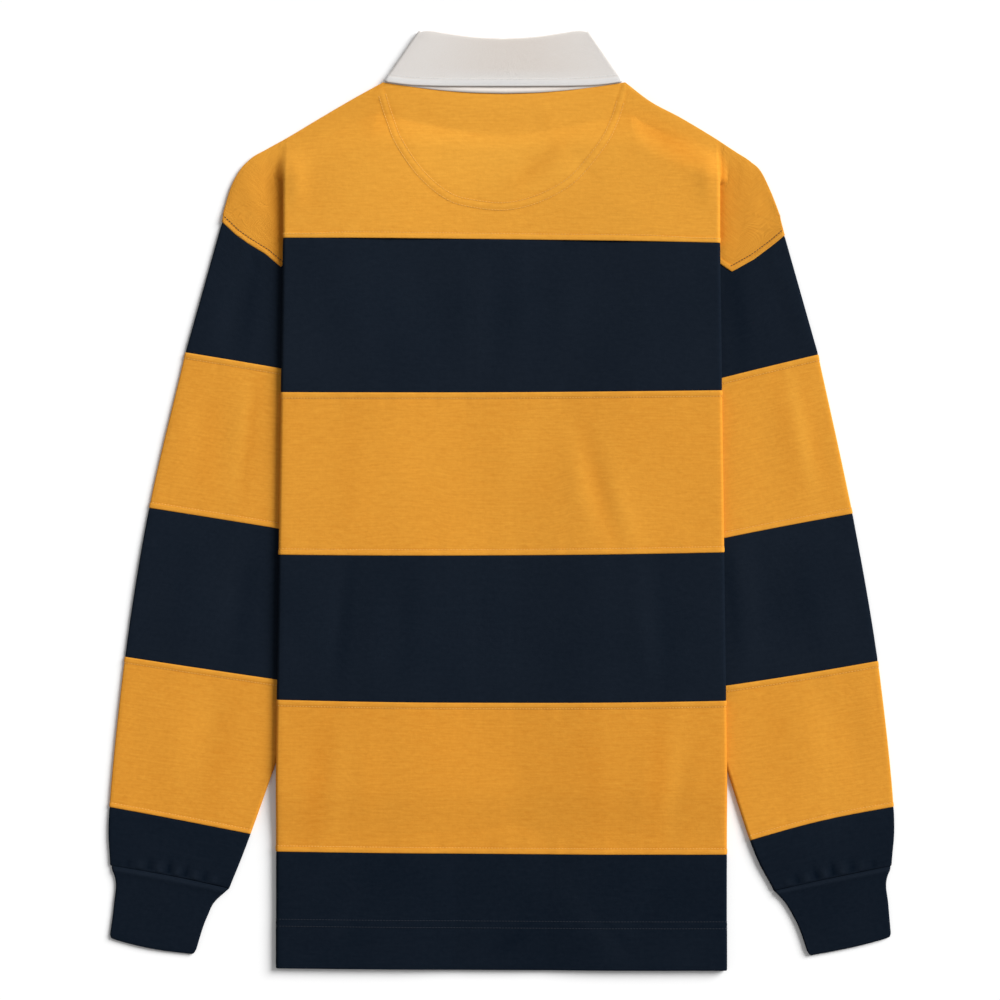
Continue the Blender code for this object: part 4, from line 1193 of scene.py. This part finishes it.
def build_body_band(layer, band):
    """One body band below the top one, with its rows of stitches."""
    grid, air, rows = body_band(layer, band)
    colour = band_colour(band)
    length = rows[-1]
    shape, tone = relieved(grid, air, rows, colour, layer, band == LAST_BAND)
    # The band's tone, with painted light that darkens towards the hem
    tone = tone + BAND_TONES_WITH_PAINTED_LIGHT[band]
    keep = None
    if layer == "front" and band == 2:
        middles = np.abs(grid[:-1, :-1, 0] + grid[:-1, 1:, 0]) / 2
        keep = (middles >= SLOT_HALF) | (grid[1:, 1:, 1] <= PLACKET_LOW - SLOT_BELOW)
    node = f"{layer}_band_{band}"
    piece = add_cloth(node, shape, COLOURS[colour], tone, keep, BODY_KNIT_STEP * band)
    places = (STITCH_LINE, length - STITCH_LINE) if colour == "yellow" else ()
    if band == LAST_BAND:
        places = [length - place for place in HEM_LINES]
    sewn = []
    if len(places):
        outward = 1 if layer == "back" else -1
        lines = [line_of(shape, rows, place, outward) for place in places]
        sewn = [add_stitches(node + "_stitches", lines, colour + "_thread")]


def half_moon_distance(x, y):
    """Signed distance from the half-moon's inner row, positive outside it, along its own normals."""
    at = np.linspace(0, len(HALF_MOON) - 1, 120)
    curve = through(at, range(len(HALF_MOON)), HALF_MOON)
    gap = np.stack((x.ravel()[:, None] - curve[:, 0], y.ravel()[:, None] - curve[:, 1]), axis=2)
    nearest = (gap ** 2).sum(axis=2).argmin(axis=1)
    run = np.gradient(curve, axis=0)
    out = np.column_stack((run[:, 1], -run[:, 0]))
    out /= np.linalg.norm(out, axis=1, keepdims=True)
    reach = gap[np.arange(len(nearest)), nearest]
    return (reach * out[nearest]).sum(axis=1).reshape(x.shape), curve, out


def on_cloth(shape, normals, places):
    """Points of the cloth at places seen from above, with normals: the mean of the four nearest
    points of the grid, weighted by one over the distance squared."""
    points, facing = shape.reshape(-1, 3), normals.reshape(-1, 3)
    away = ((places[:, None] - points[None, :, :2]) ** 2).sum(axis=2)
    nearest = np.argpartition(away, 4, axis=1)[:, :4]
    weight = 1.0 / (np.take_along_axis(away, nearest, axis=1) + 0.01)
    weight = (weight / weight.sum(axis=1, keepdims=True))[..., None]
    height = (points[nearest] * weight).sum(axis=1)[:, 2]
    return np.column_stack((places, height)), (facing[nearest] * weight).sum(axis=1)


def moon_relief(x, y):
    """Raised band between the half-moon's two rows, with a groove at each row; and its tone, which has
    painted shade in the grooves.
    """
    distance, _, _ = half_moon_distance(x, y)
    band = ramp(distance, (-1.2, 0.4)) * (
        1.0 - ramp(distance, (HALF_MOON_WIDTH - 0.4, HALF_MOON_WIDTH + 1.2)))
    inside = 1.0 - ramp(distance, (-2.0, 0.0))
    grooves = bump(distance, 1.1) + bump(distance - HALF_MOON_WIDTH, 1.1)
    return [raised * band + inner * inside + row * grooves
            for raised, inner, row in (MOON_FORM, MOON_TONE_AND_SHADE)]


def armhole_row(sign):
    """The row of stitches on the cap: the armhole's outer part, moved square to it."""
    at = np.linspace(2.0 if sign < 0 else 3.0, 6.0, 60)
    curve = straight(at, range(7), ARMHOLES[sign])
    run = np.gradient(curve, axis=0)
    up = np.column_stack((-run[:, 1], run[:, 0])) / np.linalg.norm(run, axis=1, keepdims=True)
    row = curve + up * ARMHOLE_LINE
    beyond = row[-1] + run[-1] / np.linalg.norm(run[-1]) * ARMHOLE_REACH
    return np.concatenate((row, [beyond])) * (sign, 1)


def painted_fold_shade(x, y):
    """Painted shade along the right fold, which turns to the light."""
    return -0.16 * bump(x - edge_x(y) + 0.8, 2.0)


def cap_tone_and_painted_shadow(x, y):
    """Tone of the cap: darker all over, with painted shadow deep orange beside the pleat's fold,
    easing out to the sleeve's own tone, and a painted dark line beside the right fold.
    """
    outside = np.abs(x) - edge_x(y)
    cap = ramp(outside, (-2.0, 2.0)) * (1.0 - ramp(y, (262.0, 288.0)))
    # Painted shadow beside the left fold, which faces away from the light
    left = 0.5 * bump(outside, 5.5) * (x < 0)
    # Painted dark line beside the right fold, near the top of the pleat
    line = ramp(y, (202.0, 218.0)) * (1.0 - ramp(y, (276.0, 296.0)))
    right = 0.45 * bump(outside - 1.6, 2.4) * (x > 0) * line
    return cap * (-0.2 - 0.2 * bump(outside, 15.0) - left) - right


def build_top_band(layer):
    """The top band with the shoulders: whole at the back, two halves at the front."""
    fine = layer == "back"
    run = TOP_ROWS[-1]
    rows = row_places(run, True, False, TOP_RUN) if fine else TOP_ROWS
    share = (rows / run)[:, None]
    outward = -1 if fine else 1
    halves = {sign: top_half(layer, share, sign, fine) for sign in (-1, 1)}
    air = halves[1][1]
    made = {}
    if fine:
        grid = np.concatenate((halves[-1][0][:, ::-1], halves[1][0][:, 1:]), axis=1)
        made["back_band_1"] = (grid, np.concatenate((air[::-1], air[1:])))
    else:
        middle = TOP_COARSE[0]
        made["front_band_1_left"] = (halves[-1][0][:, middle:][:, ::-1], air[middle:][::-1])
        made["front_band_1_right"] = (halves[1][0][:, middle:], air[middle:])
    for node, (plain, lift) in made.items():
        grid = shifted(plain)
        x, y = grid[..., 0], grid[..., 1]
        across = arc_lengths(grid, 1)
        normals = surface_normals(grid) * outward
        from_seam = arc_lengths(grid, 0)
        form = seam_relief(from_seam, across, "yellow")
        form -= 0.2 * np.exp(-(run - rows[:, None]) / 0.8)
        # Painted highlight on the ledge and painted shade in the stitches' row, with the band's tone and its
        # painted light
        tone = seam_painted_highlight_and_shade(from_seam, "yellow") + BAND_TONES_WITH_PAINTED_LIGHT[1]
        folds = creases(BODY_CREASES, x, y)
        if fine:
            near_neck = (np.abs(x) < MOON_REACH[0]) & (y > MOON_REACH[1])
            moon, moon_tone_and_shade = moon_relief(x, y)
            form += moon * near_neck
            # The half-moon's tone with painted shade in its rows, the cap's tone with its painted shadow,
            # and painted light and shade along the creases
            tone += moon_tone_and_shade * near_neck + cap_tone_and_painted_shadow(x, y) + creases(BODY_PAINTED_SHADING, x, y)
        shape = grid + normals * resting(form, normals)[..., None]
        if fine:
            eased = 1.0 - 0.6 * ramp(share, (0.9, 1.0))
            shape[..., 2] += lift * (BODY_LIFT + swell(x, y) + folds) * eased
        else:
            shape[..., 2] += HOLLOW * np.clip(folds, 0.0, HOLLOW_MOST)
        piece = add_cloth(node, shape, COLOURS["yellow"], tone)
        lines = [line_of(shape, rows, STITCH_LINE, outward)]
        if fine:
            lines = [body_part(line) for line in lines]
            facing = surface_normals(shape) * outward
            centre = np.abs(x[0]) < MOON_COLUMNS
            _, inner, out = half_moon_distance(x[:1, :1], y[:1, :1])
            for offset in (0.0, HALF_MOON_WIDTH):
                lines.append(on_cloth(shape[:, centre], facing[:, centre], inner + out * offset))
            caps = []
            for sign, columns in ((-1, slice(0, CAP_COLUMNS)), (1, slice(-CAP_COLUMNS, None))):
                caps.append(on_cloth(shape[:, columns], facing[:, columns], armhole_row(sign)))
            add_stitches(node + "_armhole_stitches", caps, "navy_thread")
        add_stitches(node + "_stitches", lines, "yellow_thread")


def body_part(line):
    """The part of a stitch line inside the body's folds."""
    points, normals = line
    inside = np.abs(points[:, 0]) < EDGE_TOP - FOLD_DEPTH
    first, last = np.flatnonzero(inside)[[0, -1]]
    return points[first:last + 1], normals[first:last + 1]


class SHIRT_OT_back(bpy.types.Operator):
    """Builds the six bands of the back"""

    bl_idname = "shirt.back"
    bl_label = "Back Bands"

    def execute(self, context):
        build_top_band("back")
        for band in range(2, LAST_BAND + 1):
            build_body_band("back", band)
        return {"FINISHED"}


class SHIRT_OT_front(bpy.types.Operator):
    """Builds the six bands of the front, the first in two halves"""

    bl_idname = "shirt.front"
    bl_label = "Front Bands"

    def execute(self, context):
        build_top_band("front")
        for band in range(2, LAST_BAND + 1):
            build_body_band("front", band)
        return {"FINISHED"}


def sleeve_air(grid):
    """Where a sleeve's upper layer may lift: clear of the body's edge, easing off round its fold."""
    upper = np.concatenate((np.ones(len(SLEEVE_ACROSS)),
                            1.0 - np.arange(1, SLEEVE_ARC + 1) / SLEEVE_ARC,
                            np.zeros(len(SLEEVE_UNDER))))
    clear = ramp(np.abs(grid[..., 0]) - edge_x(grid[..., 1]), (-1.0, 12.0))
    clear = np.maximum(clear, ramp(-grid[..., 1], (300.0, 310.0)))
    return upper * clear


def build_sleeve(side, sign):
    """Five bands of a sleeve, each a flattened tube, with their rows of stitches."""
    sections = [sleeve_head(sign)] + [sleeve_station(station, sign) for station in SLEEVES[side]]
    runs = [after - before for before, after in zip(sections, sections[1:])]
    still = np.zeros_like(runs[0])
    last = len(runs) - 1
    for band in range(len(runs)):
        before = runs[band] - runs[band - 1] if band > 1 else still
        after = runs[band + 1] - runs[band] if 0 < band < last else still
        run = float(np.linalg.norm(runs[band][:, :2], axis=1).mean())
        rows = row_places(run, True, True)
        grid = loft(sections[band], sections[band + 1], -before / 2, after / 2, rows / run, SEAM_GAP)
        colour = band_colour(band + 2)
        normals = surface_normals(grid) * sign
        across = arc_lengths(grid, 1)
        top, low = rows[:, None], (run - rows)[:, None]
        form = seam_relief(top, across, colour)
        form = form + seam_relief(low, across + SLEEVE_PUCKER_STEP, colour)
        shape = grid + normals * resting(form, normals)[..., None]
        # Painted highlight on the yellow ledges and painted shade in their stitches' rows, at both seams
        tone = seam_painted_highlight_and_shade(top + 0 * across, colour) + seam_painted_highlight_and_shade(low + 0 * across, colour)
        tone = tone + SLEEVE_BAND_TONES[band] + (SLEEVE_TONES[side] if colour == "yellow" else 0.0)
        x, y = grid[..., 0], grid[..., 1]
        folds = creases(SLEEVE_CREASES[side], x, y)
        # Painted light and shade along the creases, and painted shadow beside the body's folds
        tone = tone + creases(SLEEVE_PAINTED_SHADING[side], x, y)
        lift = SLEEVE_LIFT + swell(x * 1.3, y * 1.2) + folds
        if band == last:
            share = SLEEVE_SHARES
            width = across[:, len(SLEEVE_ACROSS):len(SLEEVE_ACROSS) + 1]
            for place, length, half, depth in GATHERS:
                gather = depth * bump((share - place) * width, half) * (
                    1.0 - smooth(low / length)) * ramp(low, (0.0, 2.5))
                lift = lift + gather
                # Painted light on the gathers' ridges and painted shade in their troughs
                tone = tone + GATHER_PAINTED_SHADING * gather * (share < 1.0)
        shape[..., 2] += sleeve_air(grid) * lift
        under = slice(-len(SLEEVE_UNDER), None)
        shape[:, under, 2] += HOLLOW * np.clip(folds[:, under], 0.0, HOLLOW_MOST)
        node = f"sleeve_{side}_{band + 1}"
        piece = add_cloth(node, shape, COLOURS[colour], tone, None, SLEEVE_KNIT_STEP * band)
        sewn = []
        if colour == "yellow":
            lines = [line_of(shape, rows, place, sign) for place in (STITCH_LINE, run - STITCH_LINE)]
            sewn = [add_stitches(node + "_stitches", lines, "yellow_thread")]


def build_cuff(side, sign):
    """A cuff: a flattened tube through four stations, raised beside its seam."""
    stations = np.array([sleeve_station(station, sign) for station in CUFFS[side]])
    stations[0, :, 1] -= SEAM_GAP
    run = CUFF_HEIGHTS[-1]
    rows = row_places(run, True, False)
    grid = through(rows, CUFF_HEIGHTS, stations)
    grid[..., 2] = stations[0, :, 2]
    normals = surface_normals(grid) * sign
    low = (run - rows)[:, None]
    place, high, wide = CUFF_RIDGE
    form = -LIP_DEPTH * np.exp(-rows[:, None] / 0.4) + high * bump(rows[:, None] - place, wide)
    form = form + 0 * grid[..., 0] - LIP_DEPTH * np.exp(-low / 0.5)
    shape = grid + normals * resting(form, normals)[..., None]
    inset = CORNER - np.sqrt(CORNER ** 2 - np.clip(CORNER - low, 0.0, CORNER) ** 2)
    share = SLEEVE_SHARES * 2.0 - 1.0
    shape[..., 0] -= sign * inset * np.sign(share) * np.abs(share) ** CORNER_POWER
    x, y = grid[..., 0], grid[..., 1]
    shape[..., 2] += sleeve_air(grid) * (CUFF_LIFT + swell(x * 2.0, y * 2.0))
    # Painted highlight in a line beside the cuff's seam, on the flank of its ridge
    tone = CUFF_TONE + CUFF_PAINTED_HIGHLIGHT * bump(rows[:, None] - 1.8, 1.3) + 0 * grid[..., 0]
    piece = add_cloth(f"cuff_{side}", shape, COLOURS["navy"], tone)


class SHIRT_OT_sleeves(bpy.types.Operator):
    """Builds the five bands of each sleeve"""

    bl_idname = "shirt.sleeves"
    bl_label = "Sleeves"

    def execute(self, context):
        build_sleeve("left", -1)
        build_sleeve("right", 1)
        return {"FINISHED"}


class SHIRT_OT_cuffs(bpy.types.Operator):
    """Builds the two cuffs"""

    bl_idname = "shirt.cuffs"
    bl_label = "Cuffs"

    def execute(self, context):
        build_cuff("left", -1)
        build_cuff("right", 1)
        return {"FINISHED"}


class SHIRT_OT_collar(bpy.types.Operator):
    """Builds the collar's stand and leaf"""

    bl_idname = "shirt.collar"
    bl_label = "Collar"

    def execute(self, context):
        station, turned = collar_stations()
        stand = shifted(mirrored(collar_surface(station, turned, "stand")))
        piece = add_cloth("collar_stand", stand, TWILL, STAND_TONE)
        leaf = shifted(mirrored(collar_surface(station, turned, "leaf")))
        normals = -surface_normals(leaf)
        edge = arc_lengths(leaf, 1)
        from_edge = edge[:, -1:] - edge
        groove = bump(from_edge - LEAF_STITCH, GROOVE_WIDTH)
        form = (LEDGE_HEIGHT * (1.0 - ramp(from_edge, LEAF_LEDGE_END)) - 0.12 * groove
                - 0.35 * np.exp(-from_edge / 0.5))
        # Lighter towards the leaf's edge, with painted shade in the stitches' groove
        tone = 0.14 * (1.0 - ramp(from_edge, LEAF_TONE_END)) - 0.08 * groove
        shade = bump(leaf[..., 0] - LEAF_SHADE_X, LEAF_SHADE_WIDTH)
        tone = tone - 0.16 * shade * ramp(from_edge, LEAF_SHADE_START)
        leaf = leaf + normals * resting(form, normals)[..., None]
        piece = add_cloth("collar_leaf", leaf, TWILL, tone)
        column = int(np.argmin(np.abs(from_edge[len(leaf) // 2] - LEAF_STITCH)))
        lines = [(leaf[:, column], normals[:, column])]
        sewn = [add_stitches("collar_leaf_stitches", lines, "off_white_thread")]
        return {"FINISHED"}


class SHIRT_OT_placket(bpy.types.Operator):
    """Builds the two strips of the placket"""

    bl_idname = "shirt.placket"
    bl_label = "Placket"

    def execute(self, context):
        for node, z, bow in (("placket_outer", PLACKET_OUTER, PLACKET_BOW),
                             ("placket_inner", PLACKET_INNER, -PLACKET_BOW)):
            strip = placket_strip(z, bow)
            piece = add_cloth(node, strip, TWILL, 0.0)
            down = np.tile((0.0, 0.0, -1.0), (len(strip), 1))
            lines = [(strip[:, column], down) for column in (3, -4)]
            sewn = [add_stitches(node + "_stitches", lines, "off_white_thread")]
        return {"FINISHED"}


class SHIRT_OT_buttons(bpy.types.Operator):
    """Gives the buttons their pearly finish"""

    bl_idname = "shirt.buttons"
    bl_label = "Buttons"

    def execute(self, context):
        colour = context.scene.shirt_colours.pearl
        material, tree, shader = new_material("pearl_button_finish", 0.3, 0.5)
        place = tree.nodes.new("ShaderNodeTexCoord")
        cloud = noise_node(tree, stretched(tree, place.outputs["Object"], (420.0, 160.0, 300.0)), 1.0, 3.0)
        shade = math_node(tree, "SUBTRACT", cloud, 0.5)
        tree.links.new(shaded_colour(tree, colour, shade, (0.25, 0.25, 0.25)), shader.inputs["Base Color"])
        shader.inputs["Coat Weight"].default_value = 0.3
        for number in (1, 2, 3):
            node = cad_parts[f"button_{number}"]
            node.data.materials.clear()
            node.data.materials.append(material)
        return {"FINISHED"}


class SHIRT_OT_stage(bpy.types.Operator):
    """Builds the floor, the lights and the camera"""

    bl_idname = "shirt.stage"
    bl_label = "Stage"

    def execute(self, context):
        corners = FLOOR_HALF * np.array(((-1, -1, 0), (1, -1, 0), (1, 1, 0), (-1, 1, 0)))
        material, _, shader = new_material("pale_floor", 0.9, 0.1)
        shader.inputs["Base Color"].default_value = FLOOR_COLOUR
        floor = add_mesh("floor", corners, [np.array(((0, 1, 2, 3),))], material)
        sun = bpy.data.lights.new("window_light", "SUN")
        sun.energy = SUN_STRENGTH
        sun.angle = math.radians(SUN_SPREAD)
        light = bpy.data.objects.new("window_light", sun)
        light.rotation_mode = "QUATERNION"
        light.rotation_quaternion = mathutils.Vector(SUN_FROM).to_track_quat("Z", "Y")
        context.scene.collection.objects.link(light)
        world = bpy.data.worlds.new("soft_room")
        world.use_nodes = True
        world.node_tree.nodes["Background"].inputs["Color"].default_value = (1.0, 1.0, 1.0, 1.0)
        world.node_tree.nodes["Background"].inputs["Strength"].default_value = ROOM_STRENGTH
        context.scene.world = world
        context.scene.view_settings.view_transform = "Standard"
        lens = bpy.data.cameras.new("camera")
        lens.lens, lens.sensor_width = LENS, SENSOR
        lens.clip_start, lens.clip_end = 0.05, 20.0
        camera = bpy.data.objects.new("camera", lens)
        camera.location = [value * MM for value in CAMERA_PLACE]
        context.scene.collection.objects.link(camera)
        context.scene.camera = camera
        return {"FINISHED"}


class SHIRT_PT_panel(bpy.types.Panel):
    """Sizes, colours and building steps of the shirt"""

    bl_idname = "SHIRT_PT_panel"
    bl_label = "Polo Shirt"
    bl_space_type = "VIEW_3D"
    bl_region_type = "UI"
    bl_category = "Polo Shirt"

    def draw(self, context):
        for values in (context.scene.shirt_sizes, context.scene.shirt_colours):
            for name in values.bl_rna.properties.keys():
                if name not in ("rna_type", "name"):
                    self.layout.prop(values, name)
        for step in STEPS:
            self.layout.operator(step.bl_idname)


STEPS = (SHIRT_OT_back, SHIRT_OT_front, SHIRT_OT_sleeves, SHIRT_OT_cuffs, SHIRT_OT_collar,
         SHIRT_OT_placket, SHIRT_OT_buttons, SHIRT_OT_stage)
CLASSES = (ShirtSizes, ShirtColours, *STEPS, SHIRT_PT_panel)


def register():
    """Registers the classes and hangs the settings on the scene."""
    for item in CLASSES:
        bpy.utils.register_class(item)
    bpy.types.Scene.shirt_sizes = bpy.props.PointerProperty(type=ShirtSizes)
    bpy.types.Scene.shirt_colours = bpy.props.PointerProperty(type=ShirtColours)


def unregister():
    """Takes the settings and the classes away again."""
    del bpy.types.Scene.shirt_colours
    del bpy.types.Scene.shirt_sizes
    for item in reversed(CLASSES):
        bpy.utils.unregister_class(item)


def main():
    """Registers the add-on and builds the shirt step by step."""
    register()
    bpy.ops.shirt.back()
    bpy.ops.shirt.front()
    bpy.ops.shirt.sleeves()
    bpy.ops.shirt.cuffs()
    bpy.ops.shirt.collar()
    bpy.ops.shirt.placket()
    bpy.ops.shirt.buttons()
    bpy.ops.shirt.stage()


if __name__ == "__main__":
    main()
